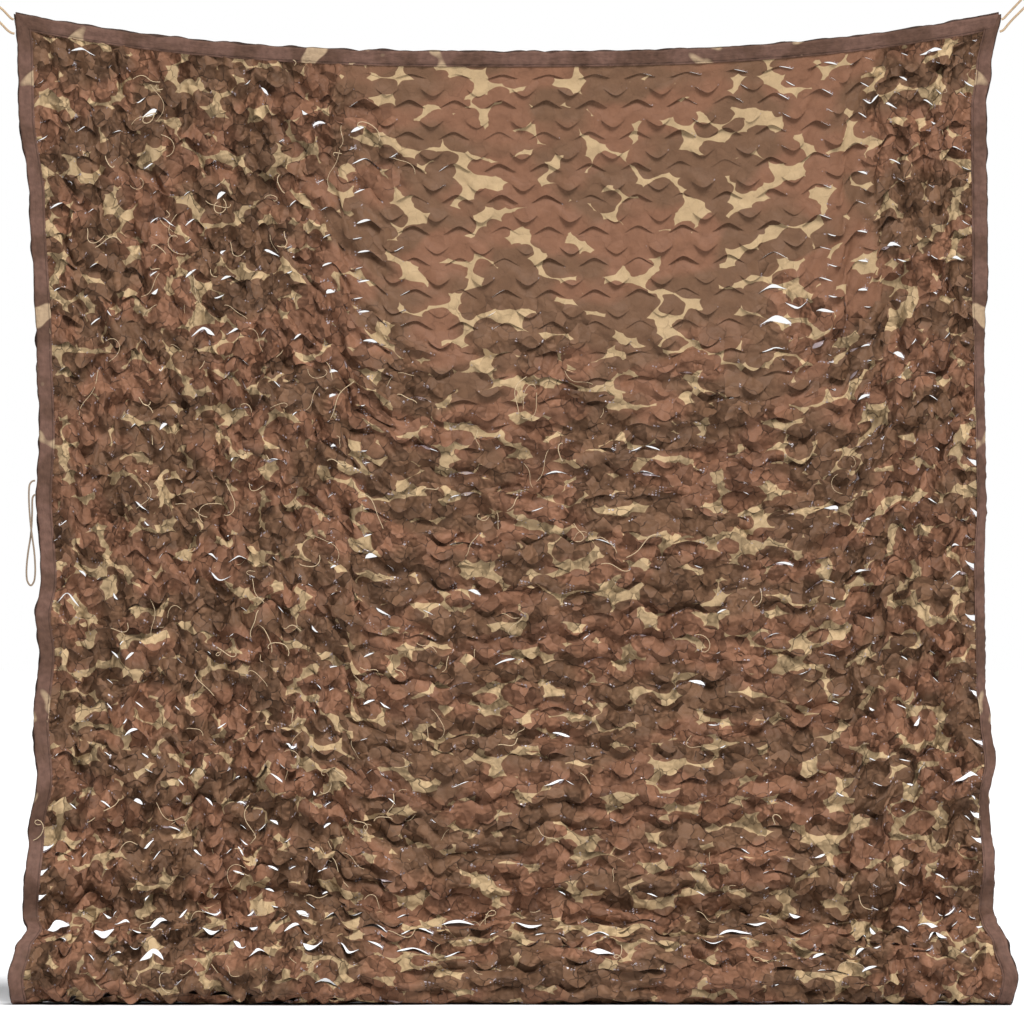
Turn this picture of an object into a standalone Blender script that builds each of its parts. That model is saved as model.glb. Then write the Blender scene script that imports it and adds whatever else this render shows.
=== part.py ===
"""Camouflage net, hung by its two top corners, with its foot pooled on the floor.

Metres, +Z up. The front of the net faces -Y and X runs along its width. The origin is the middle of
the net's top edge, the lowest point of that edge. The net is one sheet of slit cloth, bound on its
four sides with strips of the same cloth. A thin rope runs inside the strips. It comes out as a loop
at each top corner, where the net is held, and as a short slack loop on the left side.
"""

import math
from collections import namedtuple

import bmesh
import bpy
from mathutils import Vector

# Driving dimensions
FLOOR_DROP = 1.933  # from the middle of the top edge down to the floor
CORNER_RISE = 0.079  # how far the held corners stand above the middle of the top edge
RISE_POWER = 2.6  # shape of the top edge: flat in the middle, steep at the corners
ROLL_DROP = 1.745  # where the hanging sheet ends and the pooled roll begins
CLOTH_THICKNESS = 0.0024
STRIP_WIDTH = 0.032
STRIP_THICKNESS = 0.0032
GAP = 0.0004  # between neighbouring pieces
ROPE_DIAMETER = 0.005  # the rope in the top casing, which shows at the corners
LACE_DIAMETER = 0.0038  # the thinner rope of the slack loop on the left side
SPLINE_STEP = 2.5  # distance between the points of a rope's tube, in its diameters

# The grid that each sheet is made on
COARSE_ROW = 0.08
FINE_ROW = 0.03
ROLL_ROW = 0.025
FINE_FROM = 0.80  # below this the rows close up, because the side gaps are there
EDGE_COLUMN = 0.018  # width of the panel's outermost columns, and so of the side gaps
PANEL_COLUMNS = 22

# Section of the hanging sheet and its pooled foot, from the top edge to the foot hem.
# back: how far it lies behind the top edge; drop: how far below it;
# sway and lift: how much back and drop change along the net's width.
Section = namedtuple("Section", "back drop sway lift")
SECTION = (
    Section(0.000, 0.000, 0.000, 0.000),
    Section(0.004, 0.300, 0.004, 0.000),
    Section(-0.006, 0.650, 0.010, 0.000),
    Section(0.002, 0.950, 0.010, 0.000),
    Section(-0.014, 1.200, 0.012, 0.000),
    Section(-0.002, 1.380, 0.012, 0.004),
    Section(-0.026, 1.500, 0.016, 0.014),
    Section(-0.010, 1.590, 0.010, 0.016),
    Section(-0.038, 1.670, 0.016, 0.020),
    Section(-0.022, 1.745, 0.010, 0.022),
    Section(-0.072, 1.785, 0.020, 0.020),
    Section(-0.112, 1.825, 0.028, 0.014),
    Section(-0.128, 1.870, 0.030, 0.008),
    Section(-0.118, 1.912, 0.026, 0.002),
    Section(-0.082, 1.933, 0.020, 0.000),
    Section(-0.020, 1.933, 0.012, 0.000),
    Section(0.045, 1.933, 0.012, 0.000),
    Section(0.070, 1.918, 0.012, 0.000),
    Section(0.055, 1.904, 0.012, 0.000),
    Section(0.005, 1.902, 0.012, 0.000),
    Section(-0.060, 1.899, 0.016, 0.000),
)

# The slow wave along the width that sway and lift are multiplied by
Wave = namedtuple("Wave", "cycles_per_metre phase share")
WAVES = (
    Wave(0.55, 0.4, 0.60),
    Wave(1.30, 2.1, 0.45),
    Wave(2.30, 4.0, 0.30),
)

# Soft folds that stand forward of the section, or behind it where forward is negative.
# x and along: the fold's middle; half_x and half_along: its reach; slope: along per x.
Fold = namedtuple("Fold", "x along half_x half_along forward slope")
FOLDS = (
    Fold(-0.45, 1.46, 0.45, 0.050, 0.018, 0.05),
    Fold(0.42, 1.42, 0.42, 0.050, 0.016, -0.04),
    Fold(0.05, 1.60, 0.60, 0.050, 0.014, 0.02),
    Fold(0.60, 1.66, 0.32, 0.045, 0.020, 0.08),
    Fold(-0.62, 1.68, 0.30, 0.045, 0.016, -0.05),
    Fold(-0.48, 0.80, 0.11, 0.550, 0.014, 0.00),
    Fold(-0.80, 0.95, 0.10, 0.450, 0.012, 0.00),
    Fold(0.84, 0.80, 0.12, 0.500, 0.014, 0.00),
    Fold(0.15, 1.22, 0.50, 0.080, -0.012, 0.00),
    Fold(0.30, 0.35, 0.60, 0.200, -0.006, 0.00),
)

# Outline of each side: how far the strip's outer edge stands from the net's middle line, and how
# far the strip is turned back out of the sheet, in degrees.
Side = namedtuple("Side", "along half turn")
LEFT_SIDE = (
    Side(0.00, 1.003, 0),
    Side(0.07, 0.996, 0),
    Side(0.19, 0.994, 0),
    Side(0.36, 0.972, 0),
    Side(0.64, 0.958, 0),
    Side(0.81, 0.952, 0),
    Side(0.94, 0.958, 0),
    Side(1.10, 0.948, 0),
    Side(1.17, 0.960, 0),
    Side(1.24, 0.952, 0),
    Side(1.38, 0.964, 0),
    Side(1.49, 0.956, 0),
    Side(1.59, 0.973, 0),
    Side(1.76, 0.985, 0),
    Side(1.81, 0.976, 0),
    Side(1.87, 0.998, 0),
    Side(1.94, 1.012, 0),
    Side(2.00, 1.006, 0),
    Side(2.08, 0.978, 0),
    Side(2.40, 0.975, 0),
)
RIGHT_SIDE = (
    Side(0.00, 1.001, 0),
    Side(0.10, 0.982, 0),
    Side(0.18, 0.972, 0),
    Side(0.50, 0.974, 5),
    Side(0.64, 0.966, 50),
    Side(0.96, 0.970, 55),
    Side(1.06, 0.966, 50),
    Side(1.31, 0.968, 55),
    Side(1.37, 0.978, 50),
    Side(1.47, 0.989, 45),
    Side(1.54, 0.975, 50),
    Side(1.69, 0.987, 40),
    Side(1.78, 0.984, 20),
    Side(1.82, 0.990, 5),
    Side(1.88, 1.012, 0),
    Side(1.94, 1.030, 0),
    Side(2.00, 1.020, 0),
    Side(2.08, 0.975, 0),
    Side(2.40, 0.970, 0),
)

# The largest see-through gaps: three-cornered holes between the panel's edge and its side strip
LEFT_GAPS = (1.63, 1.69, 1.75)
RIGHT_GAPS = (0.87, 0.96, 1.08, 1.17, 1.35, 1.44, 1.56, 1.65)

# Routes of the ropes, one point after another along each
CORNER_LEFT_ROUTE = (
    (-1.0036, 0.000, 0.0640),
    (-1.0090, 0.000, 0.0665),
    (-1.0160, 0.000, 0.0735),
    (-1.0250, 0.000, 0.0830),
    (-1.0360, 0.000, 0.0925),
    (-1.0480, 0.000, 0.1020),
    (-1.0610, 0.000, 0.1130),
    (-1.0735, 0.001, 0.1225),
    (-1.0860, 0.002, 0.1255),
    (-1.0945, 0.002, 0.1180),
    (-1.0935, 0.002, 0.1065),
    (-1.0835, 0.001, 0.0975),
    (-1.0690, 0.000, 0.0880),
    (-1.0530, 0.000, 0.0770),
    (-1.0390, 0.000, 0.0655),
    (-1.0270, 0.000, 0.0535),
    (-1.0170, 0.000, 0.0430),
    (-1.0085, 0.000, 0.0370),
    (-1.0020, 0.000, 0.0355),
)
CORNER_RIGHT_ROUTE = (
    (1.0016, 0.000, 0.0640),
    (1.0070, 0.000, 0.0670),
    (1.0130, 0.000, 0.0735),
    (1.0210, 0.000, 0.0820),
    (1.0310, 0.000, 0.0925),
    (1.0420, 0.000, 0.1040),
    (1.0530, 0.000, 0.1155),
    (1.0620, 0.000, 0.1275),
    (1.0715, 0.001, 0.1390),
    (1.0835, 0.002, 0.1440),
    (1.0935, 0.002, 0.1375),
    (1.0945, 0.002, 0.1255),
    (1.0850, 0.001, 0.1155),
    (1.0720, 0.000, 0.1085),
    (1.0600, 0.000, 0.1000),
    (1.0480, 0.000, 0.0880),
    (1.0360, 0.000, 0.0760),
    (1.0240, 0.000, 0.0640),
    (1.0135, 0.000, 0.0520),
    (1.0055, 0.000, 0.0425),
    (0.9982, 0.000, 0.0395),
)
SIDE_LOOP_ROUTE = (
    (-0.9600, -0.006, -0.8720),
    (-0.9660, -0.006, -0.8735),
    (-0.9705, -0.007, -0.8790),
    (-0.9722, -0.008, -0.8880),
    (-0.9725, -0.009, -0.9080),
    (-0.9712, -0.010, -0.9350),
    (-0.9688, -0.011, -0.9620),
    (-0.9655, -0.012, -0.9880),
    (-0.9620, -0.011, -1.0130),
    (-0.9600, -0.010, -1.0380),
    (-0.9598, -0.009, -1.0600),
    (-0.9620, -0.008, -1.0760),
    (-0.9685, -0.008, -1.0850),
    (-0.9755, -0.008, -1.0765),
    (-0.9775, -0.008, -1.0600),
    (-0.9765, -0.007, -1.0380),
    (-0.9735, -0.007, -1.0130),
    (-0.9695, -0.006, -0.9880),
    (-0.9670, -0.006, -0.9620),
    (-0.9660, -0.006, -0.9350),
    (-0.9658, -0.006, -0.9140),
    (-0.9645, -0.006, -0.9050),
    (-0.9600, -0.006, -0.9000),
)

# Colour and roughness of each finish
Finish = namedtuple("Finish", "color roughness")
FINISHES = {
    "net_cloth": Finish((0.235, 0.135, 0.085, 1.0), 0.80),
    "binding_cloth": Finish((0.200, 0.120, 0.090, 1.0), 0.80),
    "rope": Finish((0.440, 0.340, 0.230, 1.0), 0.90),
}


def clear_scene() -> None:
    """Removes every object from the scene."""
    for thing in list(bpy.data.objects):
        bpy.data.objects.remove(thing, do_unlink=True)


def finish_material(name: str) -> bpy.types.Material:
    """A Principled material of the named finish."""
    finish = FINISHES[name]
    material = bpy.data.materials.new(name)
    material.use_nodes = True
    shader = material.node_tree.nodes["Principled BSDF"]
    shader.inputs["Base Color"].default_value = finish.color
    shader.inputs["Roughness"].default_value = finish.roughness
    shader.inputs["Metallic"].default_value = 0.0
    material.diffuse_color = finish.color
    return material


def smooth_between(a: float, b: float, c: float, d: float, f: float) -> float:
    """The Catmull-Rom curve from b to c at fraction f, with neighbours a and d."""
    return 0.5 * (
        2 * b
        + (c - a) * f
        + (2 * a - 5 * b + 4 * c - d) * f * f
        + (3 * b - a - 3 * c + d) * f * f * f
    )


def smooth_row(rows: tuple, place: float) -> list:
    """The smooth curve through a table's rows, at a place counted in rows."""
    first = min(int(place), len(rows) - 2)
    around = [rows[max(0, min(len(rows) - 1, first + step))] for step in (-1, 0, 1, 2)]
    return [smooth_between(*column, place - first) for column in zip(*around)]


def section_lengths(steps_per_row: int = 24) -> list:
    """(along, place) pairs: how much cloth lies above each place of the section."""
    pairs = [(0.0, 0.0)]
    last = Vector(smooth_row(SECTION, 0.0)[:2])
    for step in range(1, (len(SECTION) - 1) * steps_per_row + 1):
        place = step / steps_per_row
        here = Vector(smooth_row(SECTION, place)[:2])
        pairs.append((pairs[-1][0] + (here - last).length, place))
        last = here
    return pairs


LENGTHS = section_lengths()
CLOTH_LENGTH = LENGTHS[-1][0]


def place_along(along: float) -> float:
    """The section's place, in rows, that has this much cloth above it."""
    for (low, start), (high, end) in zip(LENGTHS, LENGTHS[1:]):
        if along <= high:
            return start + (end - start) * (along - low) / (high - low)
    return LENGTHS[-1][1]


def side_row(rows: tuple, along: float) -> Side:
    """A side's outline at this distance along the cloth, eased from row to row."""
    for low, high in zip(rows, rows[1:]):
        if along <= high.along:
            f = (along - low.along) / (high.along - low.along)
            eased = f * f * (3 - 2 * f)
            return Side(*(a + (b - a) * eased for a, b in zip(low, high)))
    return rows[-1]


def wave_at(x: float) -> float:
    """The slow wave along the net's width."""
    return sum(w.share * math.sin(math.tau * w.cycles_per_metre * x + w.phase) for w in WAVES)


def fold_at(x: float, along: float) -> float:
    """How far the soft folds bring the sheet forward."""
    forward = 0.0
    for fold in FOLDS:
        across = (x - fold.x) / fold.half_x
        down = (along - fold.along - fold.slope * (x - fold.x)) / fold.half_along
        forward += fold.forward * math.exp(-across * across - down * down)
    return forward


def sheet_point(x: float, along: float, half_thickness: float) -> Vector:
    """Middle of the sheet's thickness at x and this distance along the cloth."""
    back, drop, sway, lift = smooth_row(SECTION, place_along(along))
    wave = wave_at(x)
    rise = CORNER_RISE * abs(x) ** RISE_POWER * max(0.0, 1 - drop / ROLL_DROP)
    height = rise - drop - lift * wave
    lowest = half_thickness - FLOOR_DROP
    return Vector((x, back + sway * wave - fold_at(x, along), max(height, lowest)))


def strip_point(rows: tuple, sign: int, share: float, along: float, half_thickness: float) -> Vector:
    """A point of a side strip: share 0 is its inner edge and share 1 its outer edge."""
    side = side_row(rows, along)
    turn = math.radians(side.turn)
    inner = side.half - STRIP_WIDTH * math.cos(turn)
    x = sign * (inner + share * STRIP_WIDTH * math.cos(turn))
    point = sheet_point(x, along, half_thickness)
    point.y += share * STRIP_WIDTH * math.sin(turn)
    return point


def inner_edges(along: float) -> tuple:
    """X of the panel's left and right edges at this distance along the cloth."""
    left = side_row(LEFT_SIDE, along)
    right = side_row(RIGHT_SIDE, along)
    return (
        STRIP_WIDTH * math.cos(math.radians(left.turn)) - left.half,
        right.half - STRIP_WIDTH * math.cos(math.radians(right.turn)),
    )


def panel_columns(along: float) -> list:
    """X of each column of the panel's grid: a narrow one at each edge, the rest equal."""
    left, right = inner_edges(along)
    inside = right - left - 2 * EDGE_COLUMN
    middle = [left + EDGE_COLUMN + inside * i / PANEL_COLUMNS for i in range(PANEL_COLUMNS + 1)]
    return [left, *middle, right]


def row_places() -> list:
    """Distances along the cloth of the panel's rows, from the top strip to the foot strip."""
    first = STRIP_WIDTH + GAP
    last = CLOTH_LENGTH - STRIP_WIDTH - GAP
    stretches = (
        (first, FINE_FROM, COARSE_ROW),
        (FINE_FROM, ROLL_DROP, FINE_ROW),
        (ROLL_DROP, last, ROLL_ROW),
    )
    places = [first]
    for start, end, step in stretches:
        count = round((end - start) / step)
        places += [start + (end - start) * i / count for i in range(1, count + 1)]
    return places


def sheet_object(name: str, rows: list, thickness: float, finish: str, gaps: tuple = ()) -> bpy.types.Object:
    """A sheet through rows of points, made solid to both sides of them.

    gaps holds (row, side) pairs: half of that row's outermost cell is left open there.
    """
    mesh = bpy.data.meshes.new(name)
    bm = bmesh.new()
    grid = [[bm.verts.new(point) for point in row] for row in rows]
    for r in range(len(grid) - 1):
        for c in range(len(grid[r]) - 1):
            a, b, d, e = grid[r][c], grid[r + 1][c], grid[r + 1][c + 1], grid[r][c + 1]
            side = "left" if c == 0 else "right" if c == len(grid[r]) - 2 else "none"
            if (r, side) in gaps and side == "left":
                bm.faces.new((b, d, e))
            elif (r, side) in gaps:
                bm.faces.new((a, b, e))
            else:
                bm.faces.new((a, b, d, e))
    loose = [v for v in bm.verts if not v.link_faces]
    bmesh.ops.delete(bm, geom=loose, context="VERTS")
    bmesh.ops.triangulate(bm, faces=bm.faces[:])
    bmesh.ops.recalc_face_normals(bm, faces=bm.faces[:])
    bm.to_mesh(mesh)
    bm.free()
    mesh.shade_smooth()
    sheet = bpy.data.objects.new(name, mesh)
    bpy.context.scene.collection.objects.link(sheet)
    sheet.data.materials.append(MATERIALS[finish])
    solid = sheet.modifiers.new("thickness", "SOLIDIFY")
    solid.thickness = thickness
    solid.offset = 0.0
    return sheet


def gap_rows(places: list, gap_places: tuple, side: str) -> list:
    """(row, side) pairs of the grid rows that hold these gaps."""
    return [(min(range(len(places)), key=lambda r: abs(places[r] - along)), side) for along in gap_places]


def build_panel(places: list) -> None:
    """The slit cloth: one sheet between the four strips."""
    half = CLOTH_THICKNESS / 2
    rows = [[sheet_point(x, along, half) for x in panel_columns(along)] for along in places]
    gaps = tuple(gap_rows(places, LEFT_GAPS, "left") + gap_rows(places, RIGHT_GAPS, "right"))
    sheet_object("net_panel", rows, CLOTH_THICKNESS, "net_cloth", gaps)


def build_side_strip(name: str, table: tuple, sign: int, places: list) -> None:
    """A strip down one side, following the panel's edge from the top strip to the foot strip."""
    half = STRIP_THICKNESS / 2
    rows = []
    for along in places:
        turned = math.sin(math.radians(side_row(table, along).turn))
        start = (GAP + turned * STRIP_THICKNESS / 2) / STRIP_WIDTH
        shares = (start, (start + 1) / 2, 1.0)
        row = [strip_point(table, sign, share, along, half) for share in shares]
        rows.append(row if sign > 0 else row[::-1])
    sheet_object(name, rows, STRIP_THICKNESS, "binding_cloth")


def build_cross_strip(name: str, start: float, end: float) -> None:
    """A strip across the whole width, over the ends of the side strips."""
    half = STRIP_THICKNESS / 2
    rows = []
    for along in (start, (start + end) / 2, end):
        columns = panel_columns(along)
        left = strip_point(LEFT_SIDE, -1, 1.0, along, half)
        right = strip_point(RIGHT_SIDE, 1, 1.0, along, half)
        rows.append([left, *(sheet_point(x, along, half) for x in columns), right])
    sheet_object(name, rows, STRIP_THICKNESS, "binding_cloth")


def smooth_route(route: tuple, step: float) -> list:
    """Points about one step apart on the smooth curve through a route's points."""
    fine = 16
    path = []
    for i in range((len(route) - 1) * fine + 1):
        path.append(Vector(smooth_row(route, i / fine)))
    length = sum((b - a).length for a, b in zip(path, path[1:]))
    count = max(2, round(length / step))
    points = [path[0]]
    walked = 0.0
    for a, b in zip(path, path[1:]):
        walked += (b - a).length
        if walked >= len(points) * length / count and len(points) < count:
            points.append(b)
    points.append(path[-1])
    return points


def build_rope(name: str, route: tuple, diameter: float, roundness: int) -> None:
    """A round rope along its route, closed at both ends."""
    curve = bpy.data.curves.new(name, "CURVE")
    curve.dimensions = "3D"
    curve.bevel_depth = diameter / 2
    curve.bevel_resolution = roundness
    curve.use_fill_caps = True
    points = smooth_route(route, SPLINE_STEP * diameter)
    spline = curve.splines.new("POLY")
    spline.points.add(len(points) - 1)
    for slot, point in zip(spline.points, points):
        slot.co = (*point, 1.0)
    spline.use_smooth = True
    curve.materials.append(MATERIALS["rope"])
    rope = bpy.data.objects.new(name, curve)
    bpy.context.scene.collection.objects.link(rope)


clear_scene()
MATERIALS = {name: finish_material(name) for name in FINISHES}
PLACES = row_places()
build_panel(PLACES)
build_cross_strip("binding_top", 0.0, STRIP_WIDTH)
build_side_strip("binding_left", LEFT_SIDE, -1, PLACES)
build_side_strip("binding_right", RIGHT_SIDE, 1, PLACES)
build_cross_strip("binding_foot", CLOTH_LENGTH - STRIP_WIDTH, CLOTH_LENGTH)
build_rope("corner_cord_left", CORNER_LEFT_ROUTE, ROPE_DIAMETER, 2)
build_rope("corner_cord_right", CORNER_RIGHT_ROUTE, ROPE_DIAMETER, 2)
build_rope("side_cord", SIDE_LOOP_ROUTE, LACE_DIAMETER, 2)
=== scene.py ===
"""Looks of a camouflage net that hangs by its two top corners and pools on the floor.

The net is one sheet of slit cloth. Its slits leave rows of tongues that point down and rows that point
up between them. The cloth is laid out flat, its tongues are bent, the sheet is gathered onto the
surface that it hangs on, and then it is relaxed until its threads have their own length again.
"""

import logging
import math
from collections.abc import Callable
from dataclasses import dataclass, field
from enum import Enum

import bpy
import numpy as np
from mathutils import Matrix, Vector


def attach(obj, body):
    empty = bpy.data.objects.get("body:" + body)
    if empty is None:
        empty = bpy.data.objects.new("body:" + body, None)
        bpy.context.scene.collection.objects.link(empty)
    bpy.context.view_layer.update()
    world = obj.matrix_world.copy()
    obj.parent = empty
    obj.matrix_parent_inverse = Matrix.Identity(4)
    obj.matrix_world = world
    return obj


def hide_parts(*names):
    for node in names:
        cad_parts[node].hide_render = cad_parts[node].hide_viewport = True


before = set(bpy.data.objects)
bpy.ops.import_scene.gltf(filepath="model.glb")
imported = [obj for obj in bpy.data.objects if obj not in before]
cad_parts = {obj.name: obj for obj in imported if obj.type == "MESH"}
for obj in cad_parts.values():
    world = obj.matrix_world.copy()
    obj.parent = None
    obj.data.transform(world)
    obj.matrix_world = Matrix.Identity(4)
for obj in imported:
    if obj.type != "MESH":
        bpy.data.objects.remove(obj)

log = logging.getLogger("net")

FLOOR_Z = -1.933
FLOOR_CLEARANCE = 0.0012
SEED = 41
YARN_SEED = SEED + 5


# ---- The surface that the net hangs on ----

# back, drop, sway, lift: where the sheet lies behind and below its top edge, and how much both change
# along the net's width
SECTION = np.array(
    (
        (0.000, 0.000, 0.000, 0.000), (0.004, 0.300, 0.004, 0.000), (-0.006, 0.650, 0.010, 0.000),
        (0.002, 0.950, 0.010, 0.000), (-0.014, 1.200, 0.012, 0.000), (-0.002, 1.380, 0.012, 0.004),
        (-0.026, 1.500, 0.016, 0.014), (-0.010, 1.590, 0.010, 0.016), (-0.038, 1.670, 0.016, 0.020),
        (-0.022, 1.745, 0.010, 0.022), (-0.072, 1.785, 0.020, 0.020), (-0.112, 1.825, 0.028, 0.014),
        (-0.128, 1.870, 0.030, 0.008), (-0.118, 1.912, 0.026, 0.002), (-0.082, 1.933, 0.020, 0.000),
        (-0.020, 1.933, 0.012, 0.000), (0.045, 1.933, 0.012, 0.000), (0.070, 1.918, 0.012, 0.000),
        (0.055, 1.904, 0.012, 0.000), (0.005, 1.902, 0.012, 0.000), (-0.060, 1.899, 0.016, 0.000),
    )
)
# cycles per metre, phase, share
WAVES = ((0.55, 0.4, 0.60), (1.30, 2.1, 0.45), (2.30, 4.0, 0.30))
# x, along, half x, half along, forward, slope
FOLDS = (
    (-0.45, 1.46, 0.45, 0.050, 0.018, 0.05), (0.42, 1.42, 0.42, 0.050, 0.016, -0.04),
    (0.05, 1.60, 0.60, 0.050, 0.014, 0.02), (0.60, 1.66, 0.32, 0.045, 0.020, 0.08),
    (-0.62, 1.68, 0.30, 0.045, 0.016, -0.05), (-0.48, 0.80, 0.11, 0.550, 0.014, 0.00),
    (-0.80, 0.95, 0.10, 0.450, 0.012, 0.00), (0.84, 0.80, 0.12, 0.500, 0.014, 0.00),
    (0.15, 1.22, 0.50, 0.080, -0.012, 0.00), (0.30, 0.35, 0.60, 0.200, -0.006, 0.00),
)
# along, half width, turn in degrees
LEFT_SIDE = np.array(
    (
        (0.00, 1.003, 0), (0.07, 0.996, 0), (0.19, 0.994, 0), (0.36, 0.972, 0),
        (0.64, 0.958, 0), (0.81, 0.952, 0), (0.94, 0.958, 0), (1.10, 0.948, 0),
        (1.17, 0.960, 0), (1.24, 0.952, 0), (1.38, 0.964, 0), (1.49, 0.956, 0),
        (1.59, 0.973, 0), (1.76, 0.985, 0), (1.81, 0.976, 0), (1.87, 0.998, 0),
        (1.94, 1.012, 0), (2.00, 1.006, 0), (2.08, 0.978, 0), (2.40, 0.975, 0),
    )
)
RIGHT_SIDE = np.array(
    (
        (0.00, 1.001, 0), (0.10, 0.982, 0), (0.18, 0.972, 0), (0.50, 0.974, 5),
        (0.64, 0.966, 50), (0.96, 0.970, 55), (1.06, 0.966, 50), (1.31, 0.968, 55),
        (1.37, 0.978, 50), (1.47, 0.989, 45), (1.54, 0.975, 50), (1.69, 0.987, 40),
        (1.78, 0.984, 20), (1.82, 0.990, 5), (1.88, 1.012, 0), (1.94, 1.030, 0),
        (2.00, 1.020, 0), (2.08, 0.975, 0), (2.40, 0.970, 0),
    )
)
STRIP_WIDTH = 0.032


class Edge(Enum):
    """The two sides of the net."""

    LEFT = -1
    RIGHT = 1


def smooth_rows(table: np.ndarray, place: np.ndarray) -> np.ndarray:
    """Catmull-Rom curve through a table's rows.

    Args:
        table: one row per point of the curve.
        place: places along the curve, counted in rows.

    Returns:
        One row per place.
    """
    first = np.clip(np.floor(place).astype(int), 0, len(table) - 2)
    a, b, c, d = (table[np.clip(first + step, 0, len(table) - 1)] for step in (-1, 0, 1, 2))
    f = (place - first)[:, None]
    return 0.5 * (
        2 * b + (c - a) * f + (2 * a - 5 * b + 4 * c - d) * f**2 + (3 * b - a - 3 * c + d) * f**3
    )


def eased(table: np.ndarray, at: np.ndarray) -> np.ndarray:
    """Rows of a table whose first column is a distance, eased from row to row."""
    low = np.clip(np.searchsorted(table[:, 0], at, side="left") - 1, 0, len(table) - 2)
    a, b = table[low], table[low + 1]
    f = np.clip((at - a[:, 0]) / (b[:, 0] - a[:, 0]), 0, 1)[:, None]
    return a + (b - a) * f * f * (3 - 2 * f)


@dataclass
class HangingSurface:
    """The smooth surface that the cloth is gathered onto.

    Attributes:
        rise: how far the held corners stand above the middle of the top edge.
        power: shape of the top edge.
        roll_drop: drop at which the pooled foot starts.
        clearance: distance kept from the floor.
    """

    rise: float = 0.079
    power: float = 2.6
    roll_drop: float = 1.745
    clearance: float = FLOOR_CLEARANCE
    places: np.ndarray = field(init=False)
    lengths: np.ndarray = field(init=False)

    def __post_init__(self) -> None:
        self.places = np.arange((len(SECTION) - 1) * 24 + 1) / 24
        path = smooth_rows(SECTION, self.places)[:, :2]
        steps = np.linalg.norm(np.diff(path, axis=0), axis=1)
        self.lengths = np.concatenate([[0.0], np.cumsum(steps)])

    @property
    def length(self) -> float:
        """Distance along the section from the top edge to the foot hem."""
        return float(self.lengths[-1])

    def points(self, x: np.ndarray, along: np.ndarray) -> np.ndarray:
        """Points of the surface at x and these distances along the cloth."""
        place = np.interp(along, self.lengths, self.places)
        back, drop, sway, lift = smooth_rows(SECTION, place).T
        wave = sum(share * np.sin(math.tau * cycles * x + phase) for cycles, phase, share in WAVES)
        forward = 0.0
        for fold_x, fold_along, half_x, half_along, size, slope in FOLDS:
            across = (x - fold_x) / half_x
            down = (along - fold_along - slope * (x - fold_x)) / half_along
            forward = forward + size * np.exp(-across * across - down * down)
        rise = self.rise * np.abs(x) ** self.power * np.maximum(0.0, 1 - drop / self.roll_drop)
        height = np.maximum(rise - drop - lift * wave, self.clearance + FLOOR_Z)
        return np.stack([x, back + sway * wave - forward, height], 1)

    def normals(self, x: np.ndarray, along: np.ndarray) -> np.ndarray:
        """Unit normals on the front side."""
        small = 0.004
        across = self.points(x + small, along) - self.points(x - small, along)
        down = self.points(x, along + small) - self.points(x, np.maximum(along - small, 0))
        normal = np.cross(down, across)
        return normal / np.maximum(np.linalg.norm(normal, axis=1), 1e-9)[:, None]

    def inner_edge(self, edge: Edge, along: np.ndarray) -> np.ndarray:
        """X of the seam between the slit cloth and a side strip."""
        side = eased(LEFT_SIDE if edge is Edge.LEFT else RIGHT_SIDE, along)
        return edge.value * (side[:, 1] - STRIP_WIDTH * np.cos(np.radians(side[:, 2])))

    def strip_points(self, edge: Edge, share: float, along: np.ndarray) -> np.ndarray:
        """Points of a side strip: share 0 is its seam and share 1 its outer edge."""
        side = eased(LEFT_SIDE if edge is Edge.LEFT else RIGHT_SIDE, along)
        turn = np.radians(side[:, 2])
        inner = side[:, 1] - STRIP_WIDTH * np.cos(turn)
        x = edge.value * (inner + share * STRIP_WIDTH * np.cos(turn))
        points = self.points(x, along)
        points[:, 1] += share * STRIP_WIDTH * np.sin(turn)
        return points


# ---- Noise ----


class Noise:
    """Smooth and creased random fields over flat positions, all from one seed."""

    def __init__(self, seed: int) -> None:
        self.random = np.random.default_rng(seed)

    def smooth(self, at: np.ndarray, size: float, count: int = 20) -> np.ndarray:
        """Sum of random waves of about this wavelength, of unit variance."""
        total = np.zeros(len(at))
        for _ in range(count):
            angle = self.random.uniform(0, math.tau)
            pace = math.tau / (size * self.random.uniform(0.7, 1.5))
            phase = self.random.uniform(0, math.tau)
            total += np.cos(pace * (at[:, 0] * math.cos(angle) + at[:, 1] * math.sin(angle)) + phase)
        return total * math.sqrt(2 / count)

    def creased(self, at: np.ndarray, size: float, spread: float, count: int = 5) -> np.ndarray:
        """Crumple: flat facets between straight creases.

        Args:
            at: flat positions.
            size: distance between creases.
            spread: how far the creases turn away from the net's length, in radians.
            count: number of crease families.

        Returns:
            One height per position, of about unit variance.
        """
        total = np.zeros(len(at))
        warp = np.stack([self.smooth(at, size * 2.2, 10), self.smooth(at, size * 2.2, 10)], 1)
        moved = at + warp * size * 0.25
        for _ in range(count):
            angle = self.random.normal(0, spread)
            wave = size * self.random.uniform(0.7, 1.8)
            turn = (moved[:, 0] * math.cos(angle) + moved[:, 1] * math.sin(angle)) / wave
            turn = turn + self.random.uniform(0, 1)
            ridge = 4 * np.abs(turn - np.floor(turn) - 0.5) - 1
            total += ridge * (0.5 + 0.5 * self.smooth(at, size * 3, 10))
        return total * math.sqrt(3 / count)


def band(value: np.ndarray, low: float, high: float, soft: float) -> np.ndarray:
    """1 between low and high, easing to 0 over soft outside them."""
    rise = np.clip((value - low) / soft + 1, 0, 1)
    fall = np.clip((high - value) / soft + 1, 0, 1)
    both = np.minimum(rise, fall)
    return both * both * (3 - 2 * both)


# ---- The slit cloth, laid out flat ----


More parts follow.
